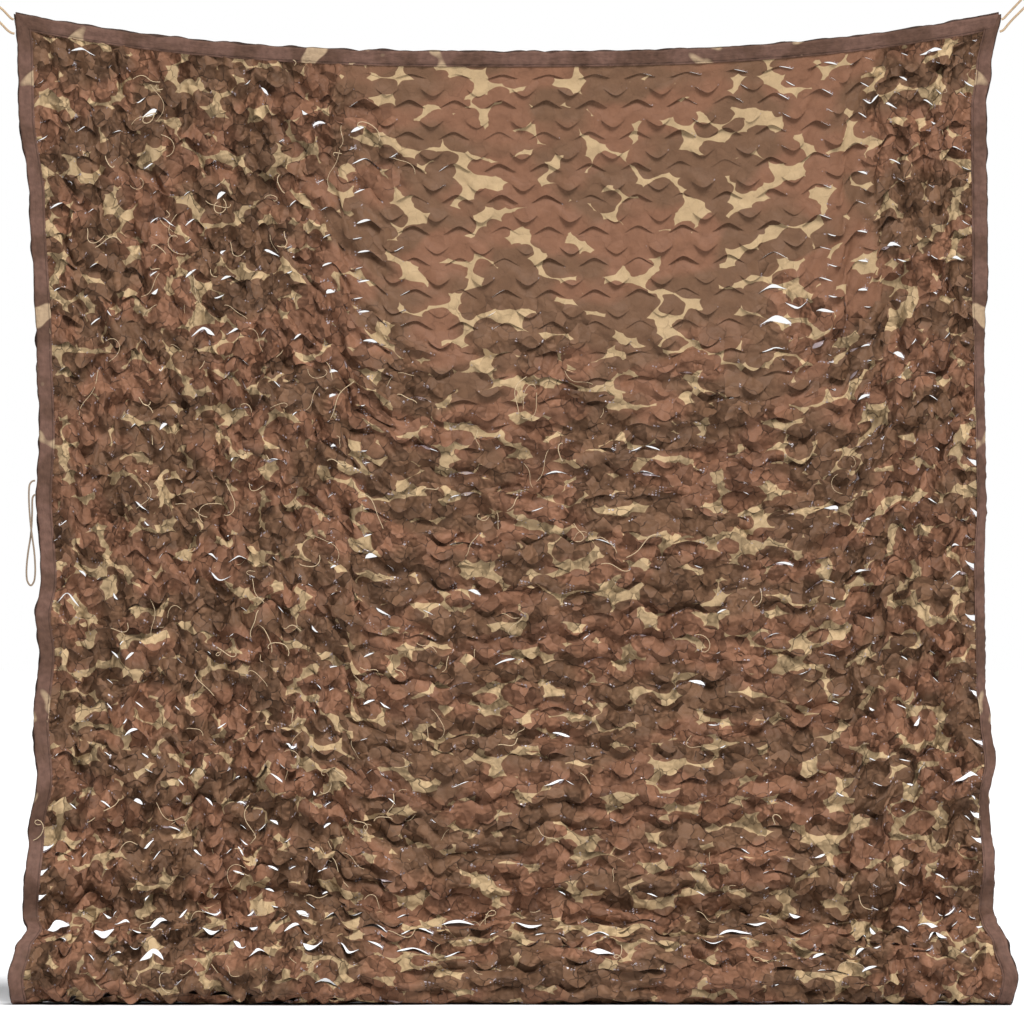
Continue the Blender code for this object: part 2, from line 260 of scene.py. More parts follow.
@dataclass(frozen=True)
class SlitPattern:
    """How the cloth is slit.

    Attributes:
        pitch: distance between neighbouring slits of a row.
        row: height of one row of the grid.
        rows: rows of the grid from one row of slits to the next of its kind.
        radius: how round the tip of a tongue is.
        slope: rise of a slit's legs per distance across.
        columns: grid columns of one pitch, in millimetres from the middle of a cup.
        cup_reach: columns from the middle to the end of a cup, a slit whose tongue points down.
        cap_reach: the same for a cap, a slit whose tongue points up.
    """

    pitch: float = 0.093
    row: float = 0.0067
    rows: int = 10
    radius: float = 0.012
    slope: float = 0.80
    columns: tuple = (0.0, 5.0, 11.0, 19.0, 27.5, 35.5, 41.5, 46.5, 51.5, 57.5, 65.5, 74.0, 82.0, 88.0)
    cup_reach: int = 4
    cap_reach: int = 5

    @property
    def height(self) -> float:
        """Distance between neighbouring rows of slits of one kind."""
        return self.row * self.rows

    def zigzag(self, s: np.ndarray) -> np.ndarray:
        """How far a grid line stands above its lowest point."""
        half = self.pitch / 2
        from_valley = np.abs((s + half) % self.pitch - half)
        bend = self.slope * self.radius

        def climb(v: np.ndarray) -> np.ndarray:
            straight = bend * self.slope / 2 + self.slope * (v - bend)
            return np.where(v < bend, v * v / (2 * self.radius), straight)

        total = 2 * climb(np.array(half / 2))
        return np.where(from_valley < half / 2, climb(from_valley), total - climb(half - from_valley))


class SlitCloth:
    """Grid of the slit cloth in flat coordinates: s across, t down.

    Grid vertices along a slit are doubled: `upper` holds those that the cloth above a line uses, and
    `lower` those that the cloth below it uses.
    """

    def __init__(self, pattern: SlitPattern, across: int, down: int) -> None:
        self.pattern = pattern
        per = len(pattern.columns)
        self.width, self.length = across * pattern.pitch, down * pattern.height
        self.nc, self.nr = across * per + 1, down * pattern.rows + 1
        starts = np.arange(across)[:, None] * pattern.pitch
        s = np.append((starts + np.array(pattern.columns) / 1000).ravel(), self.width)
        lines = np.arange(self.nr)
        # Grid lines are straight at the two hems and turn into zigzags within one row of slits.
        ends = np.minimum(lines, self.nr - 1 - lines) / pattern.rows
        fade = np.clip(ends, 0, 1)[:, None]
        rise = pattern.zigzag(s)[None, :]
        t = lines[:, None] * pattern.row - fade * rise
        grid = np.arange(self.nr * self.nc).reshape(self.nr, self.nc)
        self.upper, self.lower = grid.copy(), grid.copy()
        self.s, self.t = np.broadcast_to(s, t.shape), t
        self.cups, self.caps, self.halves = [], [], []
        for k in range(1, down):
            line = k * pattern.rows
            self.cups += [(line, i * per) for i in range(1, across)]
            self.halves += [(line, 0), (line, self.nc - 1)]
        for k in range(down):
            line = k * pattern.rows + pattern.rows // 2
            self.caps += [(line, i * per + per // 2) for i in range(across)]
        self.cups, self.caps = np.array(self.cups), np.array(self.caps)
        extra, count = [], self.nr * self.nc
        for slits, reach in ((self.cups, pattern.cup_reach), (self.caps, pattern.cap_reach)):
            for line, middle in slits:
                count = self._split(line, middle - reach + 1, middle + reach, count, extra)
        for line, column in self.halves:
            low = 0 if column == 0 else self.nc - pattern.cup_reach
            count = self._split(line, low, low + pattern.cup_reach, count, extra)
        flat = [np.stack([self.s.ravel(), self.t.ravel()], 1)]
        flat += [np.stack([self.s[line, a:b], self.t[line, a:b]], 1) for line, a, b in extra]
        self.flat = np.concatenate(flat)
        a, b = self.lower[:-1, :-1], self.upper[1:, :-1]
        d, e = self.upper[1:, 1:], self.lower[:-1, 1:]
        self.quads = np.stack([a, b, d, e], -1)

    def _split(self, line: int, start: int, stop: int, count: int, extra: list) -> int:
        """Doubles the vertices of one slit and returns the new number of vertices."""
        self.lower[line, start:stop] = count + np.arange(stop - start)
        extra.append((line, start, stop))
        return count + stop - start

    def cut_edges(self) -> np.ndarray:
        """Vertices that lie along a slit."""
        doubled = self.lower != self.upper
        return np.concatenate([self.lower[doubled], self.upper[doubled]])

    def along_rows(self) -> list:
        """Pairs of neighbours along each row, in sets that use each vertex once."""
        up, low = self.upper, self.lower
        doubled = low != up
        either = doubled[:, :-1] | doubled[:, 1:]
        sets = []
        for odd in (0, 1):
            right = up[:, odd + 1 :: 2]
            sets.append((up[:, odd:-1:2][:, : right.shape[1]], right))
            mine = either.copy()
            mine[:, 1 - odd :: 2] = False
            sets.append((low[:, :-1][mine], low[:, 1:][mine]))
        return [(i.ravel(), j.ravel()) for i, j in sets]

    def between_rows(self) -> list:
        """Pairs of neighbours from row to row, straight and across, in sets as for along_rows."""
        sets = []
        for odd in (0, 1):
            above = self.lower[odd:-1:2]
            below = self.upper[odd + 1 :: 2][: len(above)]
            sets += [(above, below), (above[:, :-1], below[:, 1:]), (above[:, 1:], below[:, :-1])]
        return [(i.ravel(), j.ravel()) for i, j in sets]

    def stiffeners(self) -> list:
        """Pairs of vertices two steps apart, which resist bending, in sets that use each once."""
        up, low = self.upper, self.lower
        doubled = low != up
        columns, rows = np.arange(self.nc - 2), np.arange(self.nr - 2)
        sets = []
        for group in (0, 1):
            c = columns[columns % 4 // 2 == group]
            sets.append((up[:, c], up[:, c + 2]))
            mine = doubled[:, c] | doubled[:, c + 1] | doubled[:, c + 2]
            sets.append((low[:, c][mine], low[:, c + 2][mine]))
            r = rows[rows % 4 // 2 == group]
            whole = ~doubled[r + 1]
            sets.append((low[r][whole], up[r + 2][whole]))
        return [(i.ravel(), j.ravel()) for i, j in sets]


# ---- Gathering: from the flat cloth to the hanging surface ----


@dataclass
class Gather:
    """How the flat cloth is spread over the hanging surface.

    Attributes:
        surface: the surface it hangs on.
        spans: (x, flat cloth per hung width up to the next x) from the left seam to the right one.
        upper: flat cloth per hung length above `turn`, in the smooth middle and in the crumpled sides.
        middle: low and high x of the smooth middle, and the width over which it ends.
        tuck: how far the panel reaches under the strips at the top and the foot.
        seam: the same at the sides.
    """

    surface: HangingSurface
    spans: tuple = ((-0.94, 1.34), (-0.30, 1.02), (0.66, 1.36), (0.94, 1.0))
    upper: tuple = (1.045, 1.24)
    turn: float = 0.56
    middle: tuple = (-0.22, 0.60, 0.22)
    tuck: float = 0.004
    seam: float = 0.002

    def flat_width(self) -> float:
        """Width of flat cloth that these spans use."""
        return sum(r * (b[0] - a[0]) for a, b, r in zip(self.spans, self.spans[1:], self.ratios()))

    def ratios(self) -> list:
        """Flat cloth per hung width of each span."""
        return [ratio for _, ratio in self.spans[:-1]]

    def place(self, s: np.ndarray, t: np.ndarray, width: float, length: float) -> tuple:
        """Where flat positions hang.

        Args:
            s, t: flat positions.
            width, length: size of the whole flat cloth.

        Returns:
            x and the distance along the surface.
        """
        xs = [x for x, _ in self.spans]
        steps = [r * (b - a) for a, b, r in zip(xs, xs[1:], self.ratios())]
        marks = np.concatenate([[0.0], np.cumsum(steps)])
        even = np.interp(s / width * marks[-1], marks, xs)
        crumpled = 1 - band(even, *self.middle)
        first = self.upper[0] + (self.upper[1] - self.upper[0]) * crumpled
        hung = self.surface.length - 2 * STRIP_WIDTH + 2 * self.tuck
        rest = (length - first * self.turn) / (hung - self.turn)
        below = self.turn + (t - first * self.turn) / rest
        along = STRIP_WIDTH - self.tuck + np.where(t < first * self.turn, t / first, below)
        left = self.surface.inner_edge(Edge.LEFT, along) - self.seam
        right = self.surface.inner_edge(Edge.RIGHT, along) + self.seam
        return left + (even - xs[0]) / (xs[-1] - xs[0]) * (right - left), along


def slack(gather: Gather, flat: np.ndarray, width: float, length: float) -> np.ndarray:
    """Spare cloth per hung length, along the net, at flat positions."""
    small = 0.03
    _, high = gather.place(flat[:, 0], np.maximum(flat[:, 1] - small, 0), width, length)
    _, low = gather.place(flat[:, 0], np.minimum(flat[:, 1] + small, length), width, length)
    span = np.minimum(flat[:, 1] + small, length) - np.maximum(flat[:, 1] - small, 0)
    return span / np.maximum(low - high, 1e-6) - 1


@dataclass(frozen=True)
class Zones:
    """How each part of the net hangs, as weights from 0 to 1.

    Attributes:
        smooth_x, smooth_along: low, high and soft edge of the smooth upper middle.
        tail_x, tail_along: the same for its fading lower end.
        wave_along: the same for the part where the rows stand out as waves.
        turned_x, turned_along: the same for the part with many turned tongues.
        roll_along: where the cloth passes under the roll, and how soon it is out of sight.
    """

    noise: Noise
    smooth_x: tuple = (-0.24, 0.66, 0.14)
    smooth_along: tuple = (-1.0, 0.50, 0.14)
    tail_x: tuple = (-0.14, 0.50, 0.12)
    tail_along: tuple = (0.40, 0.64, 0.12)
    wave_along: tuple = (1.15, 1.95, 0.30)
    turned_x: tuple = (-0.15, 0.95, 0.20)
    turned_along: tuple = (0.50, 1.40, 0.20)
    roll_along: tuple = (1.97, 0.08)

    def crumple(self, x: np.ndarray, along: np.ndarray) -> np.ndarray:
        """How crumpled the cloth is: little in the upper middle, much at the sides and below."""
        at = np.stack([x, along], 1)
        shift = 0.06 * self.noise.smooth(at, 0.30, 12)
        smooth = band(x + shift, *self.smooth_x) * band(along + shift, *self.smooth_along)
        tail = band(x + shift, *self.tail_x) * band(along + shift, *self.tail_along)
        return 1 - 0.93 * np.maximum(smooth, 0.65 * tail)

    def waves(self, along: np.ndarray) -> np.ndarray:
        """How much the rows of tongues stand forward as waves: most in the lower third."""
        return 0.25 + 0.75 * band(along, *self.wave_along)

    def turned(self, x: np.ndarray, along: np.ndarray) -> np.ndarray:
        """Share of tongues that have turned over and show the cloth's reverse."""
        belt = band(along, *self.turned_along) * band(x, *self.turned_x)
        return 0.08 + 0.40 * belt

    def hidden(self, along: np.ndarray) -> np.ndarray:
        """1 where the cloth lies under the roll, out of sight."""
        start, soft = self.roll_along
        return np.clip((along - start) / soft, 0, 1)


# ---- Tongues ----


@dataclass(frozen=True)
class Bend:
    """One bend across a set of tongues.

    Attributes:
        start: distance from the root where the bend starts.
        tilt: turn of its axis within the cloth.
        span: length of cloth that it takes.
        angle: how far it turns the tip forward.
    """

    start: np.ndarray
    tilt: np.ndarray
    span: np.ndarray
    angle: np.ndarray

    def apply(self, points: np.ndarray) -> np.ndarray:
        """Bends points that are given as across, from the root, and forward."""
        cos, sin = np.cos(self.tilt), np.sin(self.tilt)
        u, v, n = points[..., 0], points[..., 1] - self.start, points[..., 2]
        along, beyond = u * cos + v * sin, v * cos - u * sin
        angle = np.where(np.abs(self.angle) < 1e-3, 1e-3, self.angle)
        part = np.clip(beyond / self.span, 0, 1) * angle
        rest = np.maximum(beyond - self.span, 0)
        radius = self.span / angle
        moved = radius * np.sin(part) + rest * np.cos(angle) - n * np.sin(part)
        forward = radius * (1 - np.cos(part)) + rest * np.sin(angle) + n * np.cos(part)
        outside = beyond <= 0
        moved, forward = np.where(outside, beyond, moved), np.where(outside, n, forward)
        return np.stack(
            [along * cos - moved * sin, along * sin + moved * cos + self.start, forward], -1
        )


@dataclass(frozen=True)
class Lean:
    """How far tongues lean forward at their root: mean and spread, in radians.

    Attributes:
        crumpled: in crumpled cloth.
        smooth: in smooth cloth.
        over: of tongues that have turned over.
    """

    crumpled: tuple
    smooth: tuple
    over: tuple


CUP_LEAN = Lean((0.08, 0.22), (0.20, 0.10), (1.9, 0.5))
CAP_LEAN = Lean((-0.10, 0.24), (-0.12, 0.07), (2.3, 0.45))


class Tongues:
    """Bends every tongue of the cloth and sets the lips of its slit apart.

    Attributes:
        least: distance from the root from which a vertex belongs to a tongue.
        lip: overlap of the lips in cloth without any spare length.
        share: part of the spare length that the lips overlap by.
    """

    least: float = 0.0005
    lip: float = 0.0022
    share: float = 0.72

    def __init__(self, cloth: SlitCloth, noise: Noise) -> None:
        self.cloth, self.random = cloth, noise.random
        self.posed = np.zeros((len(cloth.flat), 3))
        self.posed[:, :2] = cloth.flat
        self.free = np.zeros(len(cloth.flat), bool)

    def _members(self, slits: np.ndarray, reach: int, down: bool) -> tuple:
        """Finds the vertices of each tongue.

        Returns:
            Their numbers, their places across and from the root, and the slits whose tongue is whole.
        """
        cloth = self.cloth
        line, middle = slits[len(slits) // 2]
        root = cloth.t[line, middle + reach]
        offsets, across, out = [], [], []
        for k in range(cloth.pattern.rows // 2 + 1):
            for c in range(1 - reach, reach):
                row = line - k if down else line + k
                v = (cloth.t[row, middle + c] - root) * (1 if down else -1)
                if v > self.least:
                    offsets.append((row - line, c))
                    across.append(cloth.s[row, middle + c] - cloth.s[line, middle])
                    out.append(v)
        rows = slits[:, :1] + np.array([o[0] for o in offsets])
        columns = slits[:, 1:] + np.array([o[1] for o in offsets])
        keep = (rows >= 0).all(1) & (rows < cloth.nr).all(1)
        rows, columns = rows[keep], columns[keep]
        edge = rows == slits[keep, :1]
        own = cloth.upper if down else cloth.lower
        other = cloth.lower if down else cloth.upper
        numbers = np.where(edge, own[rows, columns], other[rows, columns])
        return numbers, np.array(across), np.array(out), slits[keep]

    def bend(
        self, slits: np.ndarray, reach: int, down: bool, crumple: np.ndarray, turned: np.ndarray
    ) -> None:
        """Bends one family of tongues.

        Args:
            slits: (line, column) of each slit's middle.
            reach: columns to its ends.
            down: True for tongues that point down.
            crumple, turned: zone weights of every grid vertex.
        """
        numbers, u, v, slits = self._members(slits, reach, down)
        count = len(slits)
        much = crumple[self.cloth.upper[slits[:, 0], slits[:, 1]]][:, None]
        odds = turned[self.cloth.upper[slits[:, 0], slits[:, 1]]][:, None]

        def normal(size: float) -> np.ndarray:
            return self.random.normal(0, size, (count, 1))

        def between(low: float, high: float) -> np.ndarray:
            return self.random.uniform(low, high, (count, 1))

        flipped = (self.random.random((count, 1)) < odds) & (much > 0.5)
        kind = CUP_LEAN if down else CAP_LEAN
        loose, calm, over = kind.crumpled, kind.smooth, kind.over
        lean = much * (loose[0] + normal(loose[1])) + (1 - much) * (calm[0] + normal(calm[1]))
        if down:
            # Gravity lets only the odd one that points down stay turned over.
            flipped = flipped & (normal(1.0) > 1.1)
        lean = np.where(flipped, over[0] + normal(over[1]), lean)
        curl = much * normal(0.52) + (1 - much) * normal(0.06)
        tilt = much * normal(0.22)
        height = v.max()
        reach_out = np.abs(u).max()
        tip = Bend(height * between(0.40, 0.70), normal(0.60), between(0.003, 0.010), curl)
        root = Bend(np.abs(np.sin(tilt)) * reach_out * 0.8, tilt, between(0.003, 0.016), lean)
        points = np.zeros((*numbers.shape, 3))
        points[..., 0], points[..., 1] = u, v
        points = root.apply(tip.apply(points))
        flat = self.cloth.flat[numbers]
        sign = 1 if down else -1
        self.posed[numbers, 0] = flat[..., 0] - u + points[..., 0]
        self.posed[numbers, 1] = flat[..., 1] - sign * v + sign * points[..., 1]
        self.posed[numbers, 2] = points[..., 2]
        self.free[numbers.ravel()] = True

    def part_lips(
        self, slits: np.ndarray, reach: int, crumple: np.ndarray, spare: np.ndarray, gap: tuple
    ) -> None:
        """Lays the cloth above each slit in front of the cloth below it.

        Args:
            slits, reach, crumple: as for bend.
            spare: spare cloth per hung length at every vertex, which the lips overlap by.
            gap: distance between them in smooth and in crumpled cloth.
        """
        cloth = self.cloth
        count = len(slits)
        much = crumple[cloth.upper[slits[:, 0], slits[:, 1]]]
        size = gap[0] + (gap[1] - gap[0]) * much
        front = np.abs(self.random.normal(1, 0.6, count)) * size
        front *= np.where(self.random.random(count) < 0.12 * much, -1, 1)
        back = np.abs(self.random.normal(1, 0.6, count)) * size
        skew = self.random.normal(0, 0.40, count) * much
        loose = spare[cloth.upper[slits[:, 0], slits[:, 1]]]
        overlap = self.lip + self.share * cloth.pattern.height * loose
        for c in range(1 - reach, reach):
            place = c / reach
            opening = math.sqrt(1 - place * place) * (1 + skew * place)
            for k in range(5):
                weight = math.cos(k / 5 * math.pi / 2) ** 2
                above, below = slits[:, 0] - k, slits[:, 0] + k
                ok = (above >= 0) & (below < cloth.nr)
                column = slits[:, 1] + c
                over = (cloth.upper if k == 0 else cloth.lower)[above[ok], column[ok]]
                under = (cloth.lower if k == 0 else cloth.upper)[below[ok], column[ok]]
                self.posed[over, 2] += (front * opening)[ok] * weight
                self.posed[under, 2] -= (back * opening)[ok] * weight
                self.posed[over, 1] += (overlap * opening)[ok] * weight
                self.posed[under, 1] -= (overlap * opening)[ok] * weight


# ---- Relaxing ----


@dataclass
class Relaxer:
    """Moves the gathered cloth until its threads have their flat length again.

    Attributes:
        points: positions, changed in place.
        held: vertices that stay where they are.
        floor: height that nothing goes below.
        depth: limits of how far forward and back it may reach.
        pulled: share of the rounds in which it is drawn to its aim and sags.
    """

    points: np.ndarray
    held: np.ndarray
    floor: float
    depth: tuple
    pulled: float = 0.8
    springs: list = field(default_factory=list)

    def add(self, pairs: list, rests: list, stiffness: float) -> None:
        """Adds sets of pairs with the distance that each pair keeps.

        Args:
            pairs: sets of pairs that use each vertex once.
            rests: distances of each set.
            stiffness: share of an error that one round takes away.
        """
        for (i, j), rest in zip(pairs, rests):
            wi, wj = (~self.held[i]).astype(np.float32), (~self.held[j]).astype(np.float32)
            keep = wi + wj > 0
            i, j, wi, wj = i[keep], j[keep], wi[keep], wj[keep]
            share = stiffness / (wi + wj)
            self.springs.append(
                (i, j, rest[keep].astype(np.float32), (wi * share)[:, None], (wj * share)[:, None])
            )

    def run(self, steps: int, aim: np.ndarray, pull: np.ndarray, sag: np.ndarray) -> None:
        """Relaxes the cloth.

        Args:
            steps: number of rounds.
            aim: where each vertex is drawn to.
            pull: how strongly, per vertex.
            sag: how far gravity moves each vertex per round.
        """
        p = self.points
        loose = (~self.held)[:, None].astype(np.float32)
        pull, sag = pull[:, None] * loose, sag * loose[:, 0]
        for step in range(steps):
            if step < steps * self.pulled:
                p[:, 2] -= sag
                p += pull * (aim - p)
            for i, j, rest, wi, wj in self.springs:
                d = p[i] - p[j]
                size = np.sqrt(np.einsum("ij,ij->i", d, d)) + 1e-9
                d *= ((size - rest) / size)[:, None]
                p[i] -= wi * d
                p[j] += wj * d
            np.maximum(p[:, 2], self.floor, out=p[:, 2])
            np.clip(p[:, 1], *self.depth, out=p[:, 1])

    def smooth(self, pairs: list, fixed: np.ndarray, share: float, rounds: int) -> None:
        """Moves each vertex toward the average of its neighbours.

        Args:
            pairs: sets of neighbouring vertices.
            fixed: vertices that stay.
            share: how far they move.
            rounds: how often.
        """
        count = len(self.points)
        first = np.concatenate([i for i, _ in pairs] + [j for _, j in pairs])
        second = np.concatenate([j for _, j in pairs] + [i for i, _ in pairs])
        uses = np.maximum(np.bincount(first, minlength=count), 1)[:, None]
        for _ in range(rounds):
            total = np.stack([np.bincount(first, self.points[second, k], count) for k in range(3)], 1)
            move = share * (total / uses - self.points)
            move[fixed] = 0
            self.points += move.astype(np.float32)


# ---- Materials ----


class Shader:
    """A material under construction: adds nodes and links them."""

    def __init__(self, name: str) -> None:
        self.material = bpy.data.materials.new(name)
        self.material.use_nodes = True
        self.tree = self.material.node_tree
        self.surface = self.tree.nodes["Principled BSDF"]

    def add(self, kind: str, inputs: dict | None = None, **settings: object) -> bpy.types.Node:
        """Adds a node.

        Args:
            kind: its type, without "ShaderNode".
            inputs: values or sockets for its inputs, by name or number.
            settings: its own properties.

        Returns:
            The node.
        """
        node = self.tree.nodes.new(f"ShaderNode{kind}")
        for key, value in settings.items():
            setattr(node, key, value)
        for key, value in (inputs or {}).items():
            self.put(node.inputs[key], value)
        return node

    def put(self, socket: bpy.types.NodeSocket, value: object) -> None:
        """Sets a socket to a value, or links another node's socket to it."""
        if isinstance(value, bpy.types.NodeSocket):
            self.tree.links.new(value, socket)
        else:
            socket.default_value = value

    def math(self, operation: str, a: object, b: object = 0.0) -> bpy.types.NodeSocket:
        """Result of a math node."""
        return self.add("Math", {0: a, 1: b}, operation=operation).outputs[0]

    def mix(self, factor: object, a: object, b: object) -> bpy.types.NodeSocket:
        """Colour a where factor is 0 and b where it is 1."""
        return self.add("Mix", {0: factor, 6: a, 7: b}, data_type="RGBA").outputs[2]

    def ramp(self, value: object, low: float, high: float, to: tuple = (0.0, 1.0)) -> bpy.types.NodeSocket:
        """Value mapped from low..high to a new range, clamped."""
        return self.add("MapRange", {0: value, 1: low, 2: high, 3: to[0], 4: to[1]}).outputs[0]

    def noise(self, at: object, scale: float, detail: float = 2.0) -> bpy.types.NodeSocket:
        """Value of a noise texture."""
        return self.add("TexNoise", {"Vector": at, "Scale": scale, "Detail": detail}).outputs[0]

    def mottle(self, at: object, scale: float, detail: float, to: tuple) -> bpy.types.NodeSocket:
        """A noise texture's middle range mapped to a range of tones."""
        return self.ramp(self.noise(at, scale, detail), 0.3, 0.7, to)

    def drift(self, at: object, scale: float, detail: float) -> bpy.types.NodeSocket:
        """Vector of a noise texture."""
        return self.add("TexNoise", {"Vector": at, "Scale": scale, "Detail": detail}).outputs[1]

    def vector(self, operation: str, a: object, b: object) -> bpy.types.NodeSocket:
        """Vector that a vector math node gives."""
        second = "Scale" if operation == "SCALE" else 1
        return self.add("VectorMath", {0: a, second: b}, operation=operation).outputs[0]

    def cells(self, at: object, scale: float, **settings: object) -> bpy.types.Node:
        """Node of flat Voronoi cells."""
        inputs = {"Vector": at, "Scale": scale}
        return self.add("TexVoronoi", inputs, voronoi_dimensions="2D", **settings)

    def flat(
        self, layer: str, stretch: tuple = (1.0, 1.0, 1.0), shift: tuple = (0.0, 0.0, 0.0)
    ) -> bpy.types.NodeSocket:
        """Flat cloth position from a UV layer, in metres, scaled and moved."""
        uv = self.add("UVMap", uv_map=layer).outputs[0]
        return self.add("Mapping", {0: uv, 1: shift, 3: stretch}).outputs[0]

    def bump(
        self, height: object, distance: float, strength: float = 1.0, normal: object = None
    ) -> bpy.types.NodeSocket:
        """Normal that shows this height."""
        node = self.add("Bump", {"Height": height, "Distance": distance, "Strength": strength})
        if normal is not None:
            self.put(node.inputs["Normal"], normal)
        return node.outputs[0]

    def finish(self, inputs: dict) -> bpy.types.Material:
        """Sets the surface's inputs by name and returns the material."""
        for name, value in inputs.items():
            self.put(self.surface.inputs[name], value)
        return self.material


def plain(colour: tuple) -> tuple:
    """A linear colour with full alpha."""
    return (*colour, 1.0)


@dataclass(frozen=True)
class Print:
    """A loose three-colour print: a sandy ground over-printed with round brown and rust blobs."""

    brown: tuple = (0.128, 0.067, 0.037)
    rust: tuple = (0.176, 0.083, 0.047)
    sand: tuple = (0.370, 0.258, 0.142)
    layer: str = "ClothFlat"

    def colour(self, shader: Shader) -> bpy.types.NodeSocket:
        """Adds the print's nodes.

        Returns:
            Its colour socket.
        """
        at = shader.flat(self.layer, (1.0, 1.45, 1.0))
        centred = shader.vector("SUBTRACT", shader.drift(at, 14.0, 2.0), (0.5, 0.5, 0.5))
        warped = shader.vector("ADD", at, shader.vector("SCALE", centred, 0.05))

        def blobs(scale: float, shift: float) -> bpy.types.NodeSocket:
            there = shader.vector("ADD", warped, (shift, shift * 0.7, 0.0))
            return shader.cells(there, scale).outputs["Distance"]

        small = shader.math("SUBTRACT", blobs(17.0, 3.1), 0.485)
        large = shader.math("SUBTRACT", blobs(11.0, 9.7), 0.495)
        both = shader.math("MINIMUM", small, large)
        patchy = shader.math("MULTIPLY", shader.math("SUBTRACT", shader.noise(at, 3.2, 1.0), 0.5), 0.35)
        ground = shader.math("ADD", both, patchy)
        sandy = shader.ramp(ground, -0.008, 0.008)
        rusty = shader.ramp(shader.noise(at, 4.6, 1.5), 0.47, 0.54)
        dark = shader.mix(rusty, plain(self.brown), plain(self.rust))
        return shader.mix(sandy, dark, plain(self.sand))


@dataclass(frozen=True)
class ClothFront:
    """Printed side of the slit cloth: thin plain-woven polyester, with painted light and shade on its
    crumpled facets and painted shade along their creases.

    Attributes:
        facet_scale: facets per metre in crumpled cloth.
        facet_drift: how far their edges wander.
        facet_tilt: how much each facet is tilted.
        painted_facet_shades: painted shade of the darkest facet and painted light of the lightest, as if
            each facet met the light at its own angle.
        painted_crease_width: distance from a facet's edge where the painted shade of its crease is
            darkest, and where it ends.
        painted_crease_shades: tone of the faintest and of the strongest painted crease shade.
        wrinkle: depth of the fine wrinkles.
        weave: threads per metre and their depth.
    """

    name: str = "cloth_front"
    print: Print = Print()
    roughness: float = 0.62
    specular: float = 0.15
    facet_scale: float = 40.0
    facet_drift: float = 0.016
    facet_tilt: float = 1.9
    painted_facet_shades: tuple = (0.76, 1.28)
    painted_crease_width: tuple = (0.015, 0.055)
    painted_crease_shades: tuple = (1.0, 0.36)
    wrinkle: float = 0.0022
    weave: tuple = (1600.0, 0.0002)

    def material(self) -> bpy.types.Material:
        """Builds the material."""
        shader = Shader(self.name)
        colour = self.print.colour(shader)
        at = shader.flat(self.print.layer)
        shade = shader.mottle(at, 45.0, 3.0, (0.90, 1.08))
        speck = shader.mottle(at, 700.0, 2.0, (0.90, 1.10))
        crumple = shader.add("Attribute", attribute_name="crumple").outputs["Fac"]
        drift = shader.vector("SCALE", shader.drift(at, 55.0, 1.0), self.facet_drift)
        there = shader.vector("ADD", shader.flat(self.print.layer, (1.0, 0.8, 1.0)), drift)
        cells = shader.cells(there, self.facet_scale)
        # Painted light and shade: each crumpled facet is made lighter or darker at random, as if it faced
        # the light at its own angle.
        painted_facet_light = shader.add("SeparateXYZ", {0: cells.outputs["Color"]}).outputs[2]
        painted_facet_shade = shader.ramp(painted_facet_light, 0.0, 1.0, self.painted_facet_shades)
        # Painted shade: the cloth is darkened along the facets' edges, where creases and slit lips would
        # lie in shadow, and a noise varies how dark this is.
        edges = shader.cells(there, self.facet_scale, feature="DISTANCE_TO_EDGE")
        depth = shader.ramp(shader.noise(at, 28.0, 1.0), 0.44, 0.60, self.painted_crease_shades)
        painted_crease_shade = shader.ramp(edges.outputs["Distance"], *self.painted_crease_width, (depth, 1.0))
        # The painted facet and crease shade shows only where the cloth is crumpled, and it is multiplied
        # by a random mottle.
        painted_facet_and_crease_shade = shader.math("MULTIPLY", painted_facet_shade, painted_crease_shade)
        painted_shade_where_crumpled = shader.add("Mix", {0: crumple, 2: 1.0, 3: painted_facet_and_crease_shade}).outputs[0]
        tone = shader.math("MULTIPLY", shader.math("MULTIPLY", shade, speck), painted_shade_where_crumpled)
        from_middle = shader.vector("SUBTRACT", there, cells.outputs["Position"])
        facing = shader.vector("SUBTRACT", cells.outputs["Color"], (0.5, 0.5, 0.5))
        tilt = shader.add("VectorMath", {0: from_middle, 1: facing}, operation="DOT_PRODUCT").outputs[1]
        facets = shader.math("MULTIPLY", tilt, shader.math("MULTIPLY", crumple, self.facet_tilt))
        wrinkles = shader.math("MULTIPLY", shader.noise(at, 60.0, 3.0), self.wrinkle)
        bumped = shader.bump(shader.math("ADD", facets, wrinkles), 1.0)
        threads, thread_depth = self.weave
        weave = shader.noise(at, threads, 1.0)
        return shader.finish(
            {
                "Base Color": shader.vector("SCALE", colour, tone),
                "Normal": shader.bump(weave, thread_depth, 0.5, bumped),
                "Roughness": self.roughness,
                "Specular IOR Level": self.specular,
            }
        )


@dataclass(frozen=True)
class ClothBack:
    """Coated reverse of the cloth: pale, greyish and slightly shiny.

    Attributes:
        shows_through: how much of the print shows on it.
        wrinkle: depth of the fine wrinkles.
    """

    name: str = "cloth_back"
    colour: tuple = (0.260, 0.212, 0.228)
    roughness: float = 0.30
    shows_through: float = 0.22
    wrinkle: float = 0.004
    coat: float = 0.35
    coat_roughness: float = 0.20

    def material(self) -> bpy.types.Material:
        """Builds the material."""
        shader = Shader(self.name)
        at = shader.flat("ClothFlat")
        base = shader.mix(self.shows_through, plain(self.colour), Print().colour(shader))
        shade = shader.mottle(at, 60.0, 3.0, (0.85, 1.12))
        return shader.finish(
            {
                "Base Color": shader.vector("SCALE", base, shade),
                "Normal": shader.bump(shader.noise(at, 70.0, 3.0), self.wrinkle),
                "Roughness": self.roughness,
                "Coat Weight": self.coat,
                "Coat Roughness": self.coat_roughness,
            }
        )


